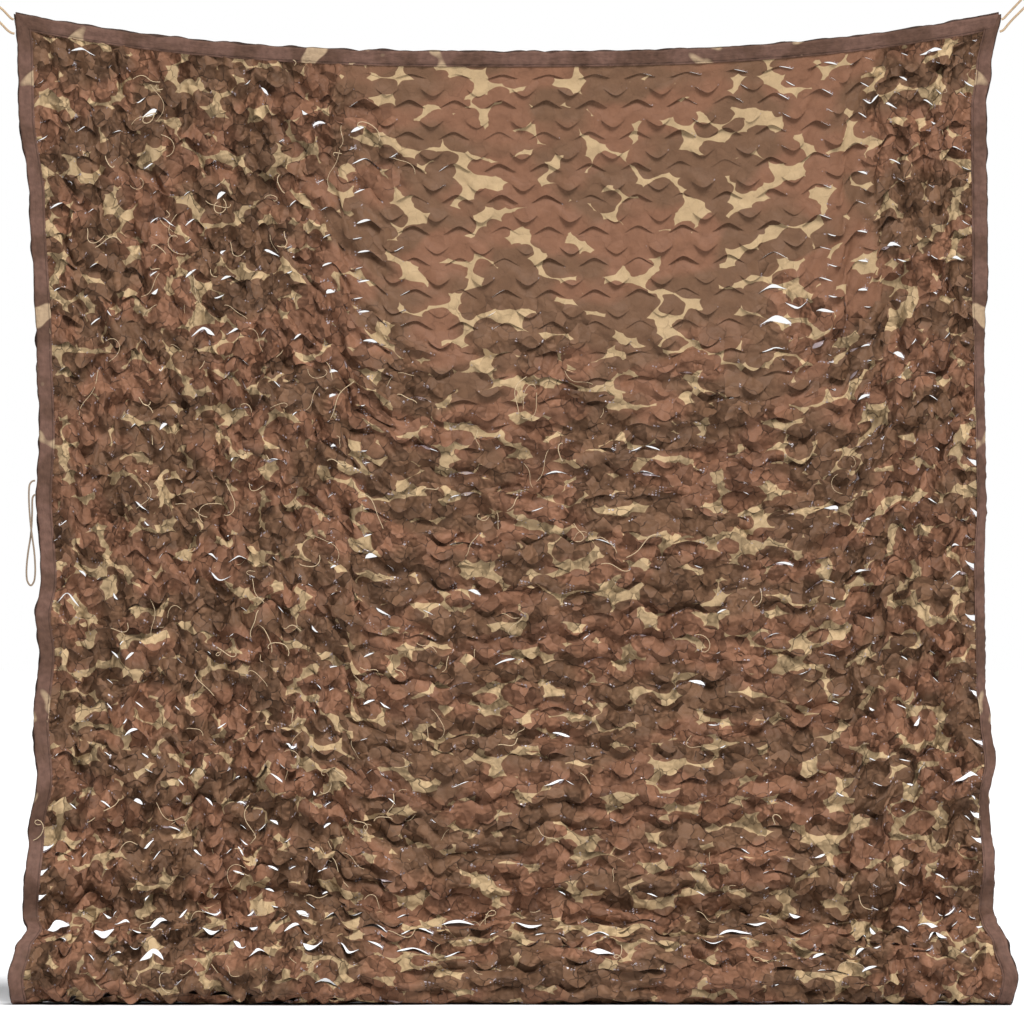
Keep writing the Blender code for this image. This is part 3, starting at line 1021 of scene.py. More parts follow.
@dataclass(frozen=True)
class StripCloth:
    """Binding strip: the same cloth, folded, in duller tones.

    Attributes:
        seam: distance of the line of stitches from the strip's inner edge.
        pucker: depth of the puckers.
        weave: threads per metre and their depth.
    """

    name: str = "strip_cloth"
    dull: tuple = (0.088, 0.046, 0.031)
    mauve: tuple = (0.125, 0.067, 0.049)
    sand: tuple = (0.340, 0.240, 0.150)
    roughness: float = 0.70
    specular: float = 0.15
    seam: float = 0.0042
    pucker: float = 0.0022
    weave: tuple = (1500.0, 0.0002)

    def material(self) -> bpy.types.Material:
        """Builds the material."""
        shader = Shader(self.name)
        at = shader.flat("StripFlat")
        wide = shader.flat("StripFlat", (0.8, 1.0, 1.0))
        patch = shader.ramp(shader.noise(wide, 9.0, 2.0), 0.46, 0.54)
        colour = shader.mix(patch, plain(self.dull), plain(self.mauve))
        elsewhere = shader.flat("StripFlat", shift=(3.0, 1.0, 0.0))
        light = shader.ramp(shader.noise(elsewhere, 11.0, 1.0), 0.635, 0.655)
        colour = shader.mix(light, colour, plain(self.sand))
        place = shader.add("SeparateXYZ", {0: at}).outputs[0]
        from_edge = shader.math("ABSOLUTE", shader.math("SUBTRACT", place, STRIP_WIDTH))
        from_seam = shader.math("ABSOLUTE", shader.math("SUBTRACT", place, self.seam))
        edge_line = shader.ramp(from_edge, 0.0010, 0.0022, (0.40, 1.0))
        seam_line = shader.ramp(from_seam, 0.0005, 0.0012, (0.6, 1.0))
        lines = shader.math("MINIMUM", edge_line, seam_line)
        shade = shader.math("MULTIPLY", lines, shader.mottle(at, 90.0, 3.0, (0.80, 1.15)))
        long = shader.flat("StripFlat", (1.0, 0.35, 1.0))
        puckers = shader.bump(shader.noise(long, 130.0, 2.0), self.pucker)
        threads, thread_depth = self.weave
        weave = shader.noise(at, threads, 1.0)
        return shader.finish(
            {
                "Base Color": shader.vector("SCALE", colour, shade),
                "Normal": shader.bump(weave, thread_depth, 0.5, puckers),
                "Roughness": self.roughness,
                "Specular IOR Level": self.specular,
            }
        )


@dataclass(frozen=True)
class PlainFinish:
    """A material of one colour with a fine mottle and grain.

    Attributes:
        grain: scale of the grain in object space.
        depth: how deep the grain is.
    """

    name: str
    colour: tuple
    roughness: float = 0.85
    grain: float = 900.0
    depth: float = 0.0004

    def material(self) -> bpy.types.Material:
        """Builds the material."""
        shader = Shader(self.name)
        at = shader.add("TexCoord").outputs["Object"]
        shade = shader.mottle(at, self.grain * 0.4, 2.0, (0.78, 1.18))
        grain = shader.noise(at, self.grain, 2.0)
        return shader.finish(
            {
                "Base Color": shader.vector("SCALE", self.colour, shade),
                "Normal": shader.bump(grain, self.depth),
                "Roughness": self.roughness,
            }
        )


# ---- Building pieces ----


def add_object(name: str, data: bpy.types.ID) -> bpy.types.Object:
    """Links a new object to the scene."""
    thing = bpy.data.objects.new(name, data)
    bpy.context.scene.collection.objects.link(thing)
    return thing


def make_mesh(
    name: str,
    points: np.ndarray,
    quads: np.ndarray,
    materials: list,
    layer: str,
    flat: np.ndarray,
    slots: np.ndarray | None = None,
) -> bpy.types.Mesh:
    """Builds a smooth quad mesh.

    Args:
        name: name of the mesh.
        points: one row per vertex.
        quads: vertex numbers, four per face.
        materials: materials of its slots.
        layer: name of the UV layer.
        flat: flat position of each vertex, in metres.
        slots: material slot of each face.

    Returns:
        The mesh.
    """
    mesh = bpy.data.meshes.new(name)
    mesh.vertices.add(len(points))
    mesh.vertices.foreach_set("co", points.astype(np.float32).ravel())
    mesh.loops.add(quads.size)
    mesh.loops.foreach_set("vertex_index", quads.ravel().astype(np.int32))
    mesh.polygons.add(len(quads))
    mesh.polygons.foreach_set("loop_start", np.arange(0, quads.size, 4, dtype=np.int32))
    mesh.polygons.foreach_set("use_smooth", np.ones(len(quads), bool))
    if slots is not None:
        mesh.polygons.foreach_set("material_index", slots.astype(np.int32))
    mesh.update(calc_edges=True)
    mesh.uv_layers.new(name=layer).data.foreach_set("uv", flat[quads.ravel()].astype(np.float32).ravel())
    for material in materials:
        mesh.materials.append(material)
    return mesh


def area(points: np.ndarray, quads: np.ndarray) -> float:
    """Total area of quads."""
    corners = points[quads]
    first, second = corners[:, 2] - corners[:, 0], corners[:, 3] - corners[:, 1]
    return float(np.linalg.norm(np.cross(first, second), axis=1).sum() / 2)


def distances(points: np.ndarray, pairs: list) -> list:
    """Distances between the vertices of each set of pairs."""
    return [np.linalg.norm(points[i] - points[j], axis=1) for i, j in pairs]


@dataclass(frozen=True)
class Relief:
    """Forms that stand out of the gathered cloth, in metres.

    Attributes:
        swell: height of the rows' waves: in smooth cloth, and what crumpling adds.
        crease: the same for the creases.
        crease_size, crease_turn: distance between them and how far they turn, in radians.
        wrinkle: height of the small wrinkles in crumpled cloth.
        wrinkle_size, wrinkle_turn: the same for them.
        wander, wander_size: how far rows drift within the cloth, and over what distance.
        margin: distance from the held edges over which all of it grows.
    """

    swell: tuple = (0.0008, 0.0110)
    crease: tuple = (0.0008, 0.0190)
    crease_size: float = 0.062
    crease_turn: float = 0.45
    wrinkle: float = 0.0030
    wrinkle_size: float = 0.035
    wrinkle_turn: float = 2.0
    wander: float = 0.006
    wander_size: float = 0.13
    margin: float = 0.05

    def waves(
        self, cloth: SlitCloth, crumple: np.ndarray, strength: np.ndarray, noise: Noise
    ) -> np.ndarray:
        """Forward height of the waves, one for each row of slits."""
        flat, pattern = cloth.flat, cloth.pattern
        rows = (flat[:, 1] + pattern.zigzag(flat[:, 0])) / pattern.height
        turn = math.tau * (rows + 0.12 * noise.smooth(flat, 0.25))
        least, more = self.swell
        height = (least + more * crumple * strength) * (1 + 0.35 * noise.smooth(flat, 0.2))
        return height * (np.cos(turn + 0.5) + 0.35 * np.cos(2 * turn + 1.0))

    def creases(self, flat: np.ndarray, crumple: np.ndarray, noise: Noise) -> np.ndarray:
        """Forward height of the creases and small wrinkles."""
        least, more = self.crease
        height = (least + more * crumple) * noise.creased(flat, self.crease_size, self.crease_turn)
        small = self.wrinkle * crumple * noise.creased(flat, self.wrinkle_size, self.wrinkle_turn)
        return height + small

    def drift(self, flat: np.ndarray, crumple: np.ndarray, noise: Noise) -> np.ndarray:
        """How far each vertex moves across and down."""
        moves = [noise.smooth(flat, self.wander_size), noise.smooth(flat, self.wander_size)]
        return self.wander * crumple[:, None] * np.stack(moves, 1)

    def inside(self, cloth: SlitCloth) -> np.ndarray:
        """0 at the held edges, 1 beyond the margin."""
        sides = np.minimum(cloth.flat[:, 0], cloth.width - cloth.flat[:, 0])
        ends = np.minimum(cloth.flat[:, 1], cloth.length - cloth.flat[:, 1])
        return np.clip(np.minimum(sides, ends) / self.margin, 0, 1)


@dataclass
class NetPanel:
    """The slit cloth of the net, in bands from top to bottom.

    Attributes:
        surface: the surface it hangs on.
        across, down: number of slits across and down.
        bands: number of pieces that it is made in.
        last_steps: rounds after the first smoothing.
        give: how much longer the tongues' threads have become.
        set_back: how far the cloth starts behind the surface.
        depth: limits of how far back and forward it may reach.
        pull: how strongly cloth outside the tongues is drawn to where it started.
        sag: how far gravity moves crumpled cloth in a round.
        cup_gap, cap_gap: distance between a slit's lips in smooth and in crumpled cloth.
        left_gaps, right_gaps: where holes open beside the strips, along the cloth.
        gap_sizes: half height of a hole, column by column from the strip.
    """

    surface: HangingSurface
    relief: Relief = Relief()
    give: float = 0.07
    across: int = 24
    down: int = 44
    bands: int = 4
    thickness: float = 0.0010
    steps: int = 130
    quick_steps: int = 12
    last_steps: int = 6
    set_back: float = 0.0012
    depth: tuple = (-0.176, 0.093)
    pull: float = 0.02
    sag: float = 0.00004
    cup_gap: tuple = (0.0036, 0.0066)
    cap_gap: tuple = (0.0034, 0.0066)
    left_gaps: tuple = (1.63, 1.69, 1.75)
    right_gaps: tuple = (0.87, 0.96, 1.08, 1.17, 1.35, 1.44, 1.56, 1.65)
    gap_sizes: tuple = (0.0085, 0.0050, 0.0015)

    def build(self) -> list:
        """Returns:
            The objects.
        """
        noise = Noise(SEED)
        self.cloth = SlitCloth(SlitPattern(), self.across, self.down)
        self.zones = Zones(noise)
        gather = Gather(self.surface)
        size = (self.cloth.width, self.cloth.length, gather.flat_width())
        log.info("panel: flat %.3f x %.3f m, gather asks for %.3f m across", *size)
        self.shape(gather, noise)
        materials = [ClothFront().material(), ClothBack().material()]
        return [self.band(k, materials) for k in range(self.bands)]

    def shape(self, gather: Gather, noise: Noise) -> None:
        """Gathers the cloth onto its surface and relaxes it."""
        cloth = self.cloth
        flat, whole = cloth.flat, (cloth.width, cloth.length)
        self.x, self.along = gather.place(flat[:, 0], flat[:, 1], *whole)
        self.crumple = self.zones.crumple(self.x, self.along)
        tongues = self.bend_tongues(gather, noise)
        swell = self.relief.waves(cloth, self.crumple, self.zones.waves(self.along), noise)
        creases = self.relief.creases(flat, self.crumple, noise)
        forward = tongues.posed[:, 2] + swell + creases
        wander = self.relief.drift(flat, self.crumple, noise)
        inside = self.relief.inside(cloth)
        s = np.clip(tongues.posed[:, 0] + wander[:, 0] * inside, 0, cloth.width)
        t = np.clip(tongues.posed[:, 1] + wander[:, 1] * inside, 0, cloth.length)
        x, along = gather.place(s, t, *whole)
        seen = 1 - 0.75 * self.zones.hidden(self.along)
        offset = forward * seen * inside - self.set_back
        start = self.surface.points(x, along)
        start += self.surface.normals(x, along) * offset[:, None]
        start[:, 2] -= 0.35 * swell * inside
        self.open_gaps(start)
        start[:, 2] = np.maximum(start[:, 2], FLOOR_Z + FLOOR_CLEARANCE)
        self.points = start.astype(np.float32)
        self.relax(tongues, forward)

    def bend_tongues(self, gather: Gather, noise: Noise) -> Tongues:
        """Bends the tongues and parts the lips of the slits."""
        cloth, pattern, crumple = self.cloth, self.cloth.pattern, self.crumple
        turned = self.zones.turned(self.x, self.along)
        tongues = Tongues(cloth, noise)
        tongues.bend(cloth.cups, pattern.cup_reach, True, crumple, turned)
        tongues.bend(cloth.caps, pattern.cap_reach, False, crumple, turned)
        spare = slack(gather, cloth.flat, cloth.width, cloth.length)
        spare = spare + 0.12 * band(self.along, 1.70, 1.95, 0.08)
        tongues.part_lips(cloth.cups, pattern.cup_reach, crumple, spare, self.cup_gap)
        tongues.part_lips(cloth.caps, pattern.cap_reach, crumple, spare, self.cap_gap)
        return tongues

    def relax(self, tongues: Tongues, forward: np.ndarray) -> None:
        """Relaxes and smooths the gathered cloth.

        Args:
            tongues: the bent tongues.
            forward: how far each vertex of the folded cloth stands forward.
        """
        cloth, free, points = self.cloth, tongues.free, self.points
        held = np.zeros(len(cloth.flat), bool)
        for line in (cloth.upper, cloth.lower):
            held[line[[0, -1]].ravel()] = True
            held[line[:, [0, -1]].ravel()] = True
        fixed = held.copy()
        fixed[cloth.cut_edges()] = True
        rows, stiffeners = cloth.along_rows(), cloth.stiffeners()
        threads = rows + cloth.between_rows()
        longer = [1 + self.give * (free[i] & free[j]) for i, j in threads]
        rests = [rest * more for rest, more in zip(distances(cloth.flat, threads), longer)]
        folded = np.concatenate([tongues.posed[:, :2], forward[:, None]], 1)
        pairs = zip(distances(folded, stiffeners), distances(cloth.flat, stiffeners))
        relaxer = Relaxer(points, held, FLOOR_Z + FLOOR_CLEARANCE, self.depth)
        relaxer.add(threads, rests, 0.9)
        relaxer.add(stiffeners, [np.minimum(bent, straight) for bent, straight in pairs], 0.5)
        pull = np.where(free, 0.0, self.pull).astype(np.float32)
        sag = (self.sag * self.crumple * (1 - self.zones.hidden(self.along))).astype(np.float32)
        relaxer.run(self.steps, points.copy(), pull, sag)
        relaxer.smooth(rows, held, 0.5, 4)
        relaxer.smooth(threads, fixed, 0.4, 2)
        relaxer.run(self.last_steps, points.copy(), pull * 0, sag * 0)
        relaxer.smooth(rows, held, 0.5, 2)
        relaxer.smooth(threads, fixed, 0.4, 1)

    def open_gaps(self, points: np.ndarray) -> None:
        """Opens three-cornered holes between the panel and its side strips."""
        cloth = self.cloth
        lines = sorted({line for line, _ in cloth.halves})
        for edge, places in ((Edge.LEFT, self.left_gaps), (Edge.RIGHT, self.right_gaps)):
            columns = range(3) if edge is Edge.LEFT else range(cloth.nc - 1, cloth.nc - 4, -1)
            for place in places:
                off = [abs(self.along[cloth.upper[n, columns[0]]] - place) for n in lines]
                line = lines[int(np.argmin(off))]
                for column, size in zip(columns, self.gap_sizes):
                    points[cloth.upper[line, column], 2] += size
                    points[cloth.lower[line, column], 2] -= size

    def band(self, number: int, materials: list) -> bpy.types.Object:
        """Builds one band: its printed side and, just behind it, its reverse."""
        cloth = self.cloth
        marks = np.linspace(0, self.down, self.bands + 1).round().astype(int) * cloth.pattern.rows
        low, high = marks[number], marks[number + 1]
        quads = cloth.quads[low:high].reshape(-1, 4)
        used, renamed = np.unique(quads, return_inverse=True)
        quads = renamed.reshape(-1, 4)
        points = self.points[used].astype(float)
        normals, rim = self.normals_and_rim(points, quads)
        behind = points - normals * np.where(rim, 0.35, 1.0)[:, None] * self.thickness
        count = len(points)
        flat = cloth.flat[used]
        name = f"net_cloth_{number + 1}"
        mesh = make_mesh(
            name,
            np.concatenate([points, behind]),
            np.concatenate([quads, quads[:, ::-1] + count]),
            materials,
            "ClothFlat",
            np.concatenate([flat, flat]),
            np.repeat([0, 1], len(quads)),
        )
        crumple = mesh.attributes.new("crumple", "FLOAT", "POINT")
        crumple.data.foreach_set("value", np.tile(self.crumple[used], 2).astype(np.float32))
        thing = add_object(name, mesh)
        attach(thing, "root")
        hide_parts("net_panel")
        share = area(points, quads) / (cloth.width * (high - low) * cloth.pattern.row)
        log.info("%s: %d quads a side, %.3f of its flat area", name, len(quads), share)
        return thing

    @staticmethod
    def normals_and_rim(points: np.ndarray, quads: np.ndarray) -> tuple:
        """Vertex normals, and which vertices lie on a cut edge."""
        a, b, c, d = (points[quads[:, k]] for k in range(4))
        face = np.cross(c - a, d - b)
        normals = np.zeros_like(points)
        for k in range(4):
            for axis in range(3):
                normals[:, axis] += np.bincount(quads[:, k], face[:, axis], len(points))
        normals /= np.maximum(np.linalg.norm(normals, axis=1), 1e-12)[:, None]
        edges = np.concatenate([np.stack([quads[:, k], quads[:, (k + 1) % 4]], 1) for k in range(4)])
        edges.sort(axis=1)
        unique, uses = np.unique(edges, axis=0, return_counts=True)
        rim = np.zeros(len(points), bool)
        rim[unique[uses == 1].ravel()] = True
        return normals, rim


@dataclass
class Strip:
    """A binding strip: cloth folded over a thin rope and sewn to the edge of the net.

    Attributes:
        name: name of the piece.
        node: the part that it replaces.
        width: its visible width.
        flat_width: width of the cloth that it is folded from; not used.
        pucker, pucker_size: height and wavelength of its puckers.
        waver, waver_size: the same for its outer edge.
        back: height of its reverse as a share of its front's.
        floor_gap: clearance kept from the floor.
        profile: share of the width, and height over the middle of the sheet.
    """

    name: str
    node: str
    material: bpy.types.Material
    width: float = STRIP_WIDTH
    flat_width: float = 0.068
    pucker: float = 0.0009
    pucker_size: float = 0.022
    waver: float = 0.0012
    waver_size: float = 0.06
    back: float = -0.45
    floor_gap: float = 0.0004
    profile: tuple = (
        (0.00, 0.0006),
        (0.03, 0.0016),
        (0.12, 0.0010),
        (0.17, 0.0019),
        (0.40, 0.0024),
        (0.62, 0.0026),
        (0.78, 0.0038),
        (0.90, 0.0036),
        (0.98, 0.0020),
        (1.00, 0.0000),
    )

    def build(
        self, along: np.ndarray, centre: Callable[[float], np.ndarray], seed: int
    ) -> bpy.types.Object:
        """Builds the strip.

        Args:
            along: distances along the strip.
            centre: gives the strip's points for a share of its width.
            seed: seed of its puckers.

        Returns:
            The object.
        """
        noise = Noise(seed)
        ring = list(self.profile)
        ring += [(share, self.back * height) for share, height in self.profile[-2::-1]]
        inner, outer = centre(0.0), centre(1.0)
        across = outer - inner
        down = np.gradient(inner, axis=0)
        normal = np.cross(down, across)
        normal /= np.linalg.norm(normal, axis=1)[:, None]
        if normal[len(normal) // 4, 1] > 0:
            normal = -normal
        columns, flats = [], []
        length = np.concatenate([[0], np.cumsum(np.linalg.norm(np.diff(inner, axis=0), axis=1))])
        for k, (share, height) in enumerate(ring):
            flat = np.stack([np.full(len(along), share * self.width), length], 1)
            pucker = self.pucker * noise.smooth(flat, self.pucker_size, 16) * (0 < share < 1)
            waver = self.waver * noise.smooth(flat, self.waver_size, 10) * (share > 0.9)
            sideways = across * (share + waver / self.width)[:, None]
            columns.append(inner + sideways + normal * (height + pucker)[:, None])
            place = share * self.width if k < len(self.profile) else (2 - share) * self.width
            flats.append(np.stack([np.full(len(along), place), length], 1))
        grid = np.stack(columns, 1)
        grid[..., 2] = np.maximum(grid[..., 2], FLOOR_Z + self.floor_gap)
        rows, count = grid.shape[:2]
        numbers = np.arange(rows * count).reshape(rows, count)
        a, b, d, e = numbers[:-1, :-1], numbers[1:, :-1], numbers[1:, 1:], numbers[:-1, 1:]
        quads = np.stack([a, b, d, e], -1).reshape(-1, 4)
        p = grid.reshape(-1, 3)
        face = np.cross(p[quads[0, 2]] - p[quads[0, 0]], p[quads[0, 3]] - p[quads[0, 1]])
        if face @ normal[0] < 0:
            quads = quads[:, ::-1]
        mesh = make_mesh(
            self.name, p, quads, [self.material], "StripFlat", np.stack(flats, 1).reshape(-1, 2)
        )
        thing = add_object(self.name, mesh)
        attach(thing, "root")
        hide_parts(self.node)
        log.info("%s: %.3f m long", self.name, length[-1])
        return thing


@dataclass
class Bindings:
    """The four binding strips.

    Attributes:
        surface: the surface they lie on.
        step: distance between the cross sections of a strip.
        end: how far the side strips end from the top and foot edges.
    """

    surface: HangingSurface
    step: float = 0.007
    end: float = 0.004

    def build(self) -> list:
        """Builds the strips."""
        material = StripCloth().material()
        surface = self.surface
        pieces = []
        long = np.arange(self.end, surface.length - self.end, self.step)
        for edge, name, seed in ((Edge.LEFT, "left", 6), (Edge.RIGHT, "right", 8)):

            def upright(share: float, edge: Edge = edge) -> np.ndarray:
                return surface.strip_points(edge, share, long)

            strip = Strip(f"strip_{name}", f"binding_{name}", material)
            pieces.append(strip.build(long, upright, seed))
        hem = surface.length
        for name, low, high, seed in (("top", STRIP_WIDTH, 0.0, 20), ("foot", hem - STRIP_WIDTH, hem, 22)):
            ends = np.array([low])
            left = surface.strip_points(Edge.LEFT, 1.0, ends)[0, 0]
            right = surface.strip_points(Edge.RIGHT, 1.0, ends)[0, 0]
            x = np.linspace(left, right, int((right - left) / self.step))

            def level(share: float, x: np.ndarray = x, low: float = low, high: float = high) -> np.ndarray:
                return surface.points(x, np.full(len(x), low + (high - low) * share))

            strip = Strip(f"strip_{name}", f"binding_{name}", material)
            pieces.append(strip.build(x, level, seed))
        return pieces


# ---- Cords and yarns ----


@dataclass
class Cord:
    """A free length of rope that leaves the net and goes back into it.

    Attributes:
        name: name of the piece.
        node: the part that it replaces.
        route: points that it passes.
        diameter: its diameter.
        lay: how it lies; not used.
    """

    name: str
    node: str
    route: tuple
    diameter: float
    lay: str

    def path(self) -> np.ndarray:
        """Smooth path through the route."""
        table = np.array(self.route)
        return smooth_rows(table, np.linspace(0, len(table) - 1, (len(table) - 1) * 4 + 1))

    def build(self, material: bpy.types.Material) -> bpy.types.Object:
        path = self.path()
        length = float(np.linalg.norm(np.diff(path, axis=0), axis=1).sum())
        curve = bpy.data.curves.new(self.name, "CURVE")
        curve.dimensions = "3D"
        curve.bevel_depth = self.diameter / 2
        curve.bevel_resolution = 3
        curve.use_fill_caps = True
        spline = curve.splines.new("POLY")
        spline.points.add(len(path) - 1)
        for slot, point in zip(spline.points, path):
            slot.co = (*point, 1.0)
        spline.use_smooth = True
        curve.materials.append(material)
        thing = add_object(self.name, curve)
        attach(thing, "root")
        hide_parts(self.node)
        log.info("%s: %.3f m long", self.name, length)
        return thing


CORNER_LEFT_ROUTE = (
    (-1.0036, 0.000, 0.0640), (-1.0090, 0.000, 0.0665), (-1.0160, 0.000, 0.0735),
    (-1.0250, 0.000, 0.0830), (-1.0360, 0.000, 0.0925), (-1.0480, 0.000, 0.1020),
    (-1.0610, 0.000, 0.1130), (-1.0735, 0.001, 0.1225), (-1.0860, 0.002, 0.1255),
    (-1.0945, 0.002, 0.1180), (-1.0935, 0.002, 0.1065), (-1.0835, 0.001, 0.0975),
    (-1.0690, 0.000, 0.0880), (-1.0530, 0.000, 0.0770), (-1.0390, 0.000, 0.0655),
    (-1.0270, 0.000, 0.0535), (-1.0170, 0.000, 0.0430), (-1.0085, 0.000, 0.0370),
    (-1.0020, 0.000, 0.0355),
)
CORNER_RIGHT_ROUTE = (
    (1.0016, 0.000, 0.0640), (1.0070, 0.000, 0.0670), (1.0130, 0.000, 0.0735),
    (1.0210, 0.000, 0.0820), (1.0310, 0.000, 0.0925), (1.0420, 0.000, 0.1040),
    (1.0530, 0.000, 0.1155), (1.0620, 0.000, 0.1275), (1.0715, 0.001, 0.1390),
    (1.0835, 0.002, 0.1440), (1.0935, 0.002, 0.1375), (1.0945, 0.002, 0.1255),
    (1.0850, 0.001, 0.1155), (1.0720, 0.000, 0.1085), (1.0600, 0.000, 0.1000),
    (1.0480, 0.000, 0.0880), (1.0360, 0.000, 0.0760), (1.0240, 0.000, 0.0640),
    (1.0135, 0.000, 0.0520), (1.0055, 0.000, 0.0425), (0.9982, 0.000, 0.0395),
)
SIDE_LOOP_ROUTE = (
    (-0.9600, -0.006, -0.8720), (-0.9660, -0.006, -0.8735), (-0.9705, -0.007, -0.8790),
    (-0.9722, -0.008, -0.8880), (-0.9725, -0.009, -0.9080), (-0.9712, -0.010, -0.9350),
    (-0.9688, -0.011, -0.9620), (-0.9655, -0.012, -0.9880), (-0.9620, -0.011, -1.0130),
    (-0.9600, -0.010, -1.0380), (-0.9598, -0.009, -1.0600), (-0.9620, -0.008, -1.0760),
    (-0.9685, -0.008, -1.0850), (-0.9755, -0.008, -1.0765), (-0.9775, -0.008, -1.0600),
    (-0.9765, -0.007, -1.0380), (-0.9735, -0.007, -1.0130), (-0.9695, -0.006, -0.9880),
    (-0.9670, -0.006, -0.9620), (-0.9660, -0.006, -0.9350), (-0.9658, -0.006, -0.9140),
    (-0.9645, -0.006, -0.9050), (-0.9600, -0.006, -0.9000),
)


def build_cords() -> list:
    """The two corner loops and the slack loop on the left side."""
    rope = PlainFinish("rope", (0.420, 0.300, 0.190), 0.9, 700.0, 0.0010).material()
    lace = PlainFinish("lace", (0.230, 0.170, 0.120), 0.9, 900.0, 0.0006).material()
    return [
        Cord("corner_rope_left", "corner_cord_left", CORNER_LEFT_ROUTE, 0.005, "taut").build(rope),
        Cord("corner_rope_right", "corner_cord_right", CORNER_RIGHT_ROUTE, 0.005, "taut").build(rope),
        Cord("side_loop", "side_cord", SIDE_LOOP_ROUTE, 0.0038, "hanging").build(lace),
    ]


@dataclass
class LooseYarns:
    """Thin frayed yarns that hang out of the slits.

    Attributes:
        panel: the net they hang from.
        count: number of yarns.
        radius: radius of the average yarn.
        steps: number of cross sections of each.
        lengths: shortest and longest yarn.
    """

    panel: NetPanel
    count: int = 190
    radius: float = 0.0007
    steps: int = 14
    lengths: tuple = (0.03, 0.085)

    def build(self) -> bpy.types.Object:
        """Builds all yarns as one mesh."""
        random = np.random.default_rng(YARN_SEED)
        cloth, points = self.panel.cloth, self.panel.points
        rim = np.unique(cloth.cut_edges())
        x, along = self.panel.x[rim], self.panel.along[rim]
        likely = 0.15 + band(x, -0.70, 0.05, 0.25) * band(along, 0.1, 1.9, 0.1)
        likely *= (along < 1.93) * (self.panel.crumple[rim] > 0.5)
        chosen = random.choice(rim, self.count, replace=False, p=likely / likely.sum())
        vertices, faces = [], []
        for start in chosen:
            self.grow(points[start].astype(float), random, vertices, faces)
        flat = np.concatenate(vertices)
        quads = np.concatenate(faces)
        material = PlainFinish("yarn", (0.520, 0.390, 0.240), 0.9, 1200.0, 0.0002).material()
        mesh = make_mesh("loose_yarns", flat, quads, [material], "YarnFlat", flat[:, :2])
        thing = add_object("loose_yarns", mesh)
        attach(thing, "root")
        return thing

    def grow(self, start: np.ndarray, random: np.random.Generator, vertices: list, faces: list) -> None:
        """Adds one curved yarn that starts at a cut edge."""
        steps = self.steps
        length = random.uniform(*self.lengths)
        heading, turn = random.uniform(0, math.tau), random.normal(0, 2.6)
        s = np.linspace(0, 1, steps)
        angle = heading + turn * s + 0.5 * np.sin(6 * s + random.uniform(0, 6))
        headings = np.stack([np.cos(angle), np.zeros(steps), np.sin(angle) - 0.35], 1)
        path = np.cumsum(headings, 0) * length / steps
        path[:, 1] -= 0.004 + 0.010 * np.sin(math.pi * s) * random.uniform(0.3, 1)
        path += start
        path[:, 2] = np.maximum(path[:, 2], FLOOR_Z + 0.003)
        ring = np.arange(4) * math.tau / 4
        tangent = np.gradient(path, axis=0)
        tangent /= np.linalg.norm(tangent, axis=1)[:, None]
        side = np.cross(tangent, (0.0, 1.0, 0.0))
        side /= np.maximum(np.linalg.norm(side, axis=1), 1e-6)[:, None]
        up = np.cross(side, tangent)
        thin = self.radius * random.uniform(0.6, 1.3)
        cos, sin = np.cos(ring)[None, :, None], np.sin(ring)[None, :, None]
        tube = path[:, None] + thin * (side[:, None] * cos + up[:, None] * sin)
        base = sum(len(v) for v in vertices)
        numbers = base + np.arange(steps * 4).reshape(steps, 4)
        around = np.roll(numbers, -1, axis=1)
        faces.append(np.stack([numbers[:-1], numbers[1:], around[1:], around[:-1]], -1).reshape(-1, 4))
        vertices.append(tube.reshape(-1, 3))


# ---- Studio ----


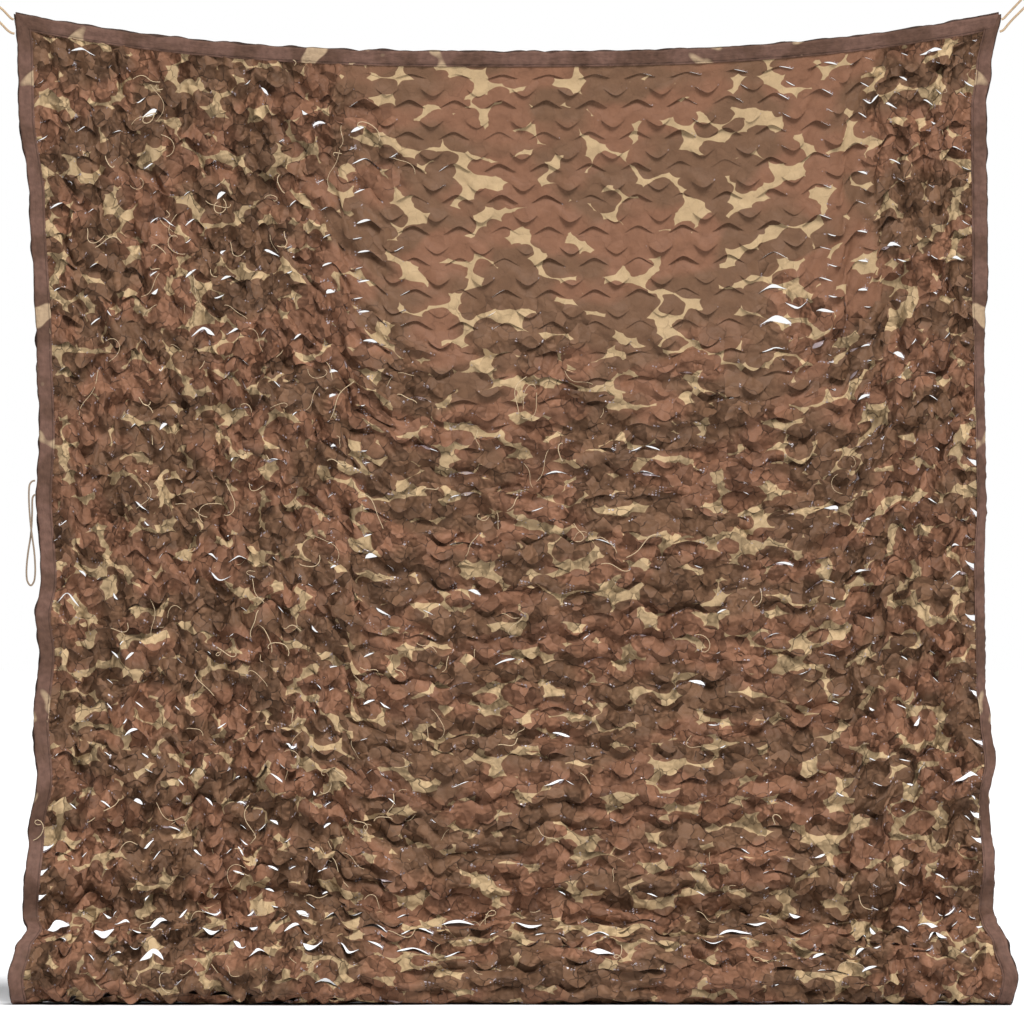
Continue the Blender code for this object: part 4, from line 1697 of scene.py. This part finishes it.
@dataclass
class Studio:
    """Camera, soft lights and a pale floor.

    Attributes:
        distance: how far in front of the net the camera stands.
        middle: x and z of the middle of its view, in metres as all lengths here.
        frame_width: width of the view at the net.
        front_light, back_light: strength of the surroundings' light from the front and from behind.
        key_strength, key_angle, key_from: strength, apparent size and direction of the main light.
        sensor: width of the camera's sensor, in millimetres.
        floor_side: half the side of the floor.
    """

    distance: float = 30.0
    middle: tuple = (0.008, -0.9226)
    frame_width: float = 2.079
    front_light: float = 0.50
    back_light: float = 0.34
    key_strength: float = 4.0
    key_angle: float = 24.0
    key_from: tuple = (0.25, -0.62, 0.80)
    sensor: float = 36.0
    floor_side: float = 60.0
    floor_colour: tuple = (0.90, 0.90, 0.91)

    def add_camera(self) -> None:
        """A long lens straight in front of the net."""
        data = bpy.data.cameras.new("camera")
        data.sensor_width = self.sensor
        data.lens = self.sensor * self.distance / self.frame_width
        data.clip_end = 200.0
        camera = add_object("camera", data)
        camera.location = (self.middle[0], -self.distance, self.middle[1])
        camera.rotation_euler = (math.pi / 2, 0.0, 0.0)
        bpy.context.scene.camera = camera

    def add_lights(self) -> None:
        """White surroundings and one large soft light above the front."""
        scene = bpy.context.scene
        world = bpy.data.worlds.new("surroundings")
        world.use_nodes = True
        tree = world.node_tree
        background = tree.nodes["Background"]
        background.inputs["Color"].default_value = (1.0, 1.0, 1.0, 1.0)
        # Seen directly the surroundings are white. Their light is weaker from behind the net.
        toward = tree.nodes.new("ShaderNodeTexCoord").outputs["Generated"]
        split = tree.nodes.new("ShaderNodeSeparateXYZ")
        tree.links.new(toward, split.inputs[0])
        fall = tree.nodes.new("ShaderNodeMapRange")
        tree.links.new(split.outputs[1], fall.inputs[0])
        for slot, value in zip(fall.inputs[1:5], (-0.2, 0.5, self.front_light, self.back_light)):
            slot.default_value = value
        direct = tree.nodes.new("ShaderNodeLightPath").outputs["Is Camera Ray"]
        pick = tree.nodes.new("ShaderNodeMix")
        tree.links.new(direct, pick.inputs[0])
        tree.links.new(fall.outputs[0], pick.inputs[2])
        pick.inputs[3].default_value = 1.0
        tree.links.new(pick.outputs[0], background.inputs["Strength"])
        scene.world = world
        scene.view_settings.view_transform = "Standard"
        key = bpy.data.lights.new("key", "SUN")
        key.energy, key.angle = self.key_strength, math.radians(self.key_angle)
        light = add_object("key", key)
        light.rotation_euler = Vector(self.key_from).to_track_quat("Z", "Y").to_euler()

    def add_floor(self) -> None:
        """A wide pale floor."""
        corners = ((-1, -1), (1, -1), (1, 1), (-1, 1))
        points = np.array([(x * self.floor_side, y * self.floor_side, FLOOR_Z) for x, y in corners])
        material = bpy.data.materials.new("floor")
        material.use_nodes = True
        surface = material.node_tree.nodes["Principled BSDF"]
        surface.inputs["Base Color"].default_value = plain(self.floor_colour)
        surface.inputs["Roughness"].default_value = 0.9
        mesh = make_mesh("floor", points, np.array([[0, 1, 2, 3]]), [material], "FloorFlat", points[:, :2])
        add_object("floor", mesh)


def main() -> None:
    """Builds the whole scene."""
    logging.basicConfig(level=logging.INFO, format="%(name)s: %(message)s")
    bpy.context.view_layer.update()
    studio = Studio()
    studio.add_camera()
    build_cords()
    surface = HangingSurface()
    Bindings(surface).build()
    panel = NetPanel(surface)
    panel.build()
    LooseYarns(panel).build()
    studio.add_lights()
    studio.add_floor()


if __name__ == "__main__":
    main()
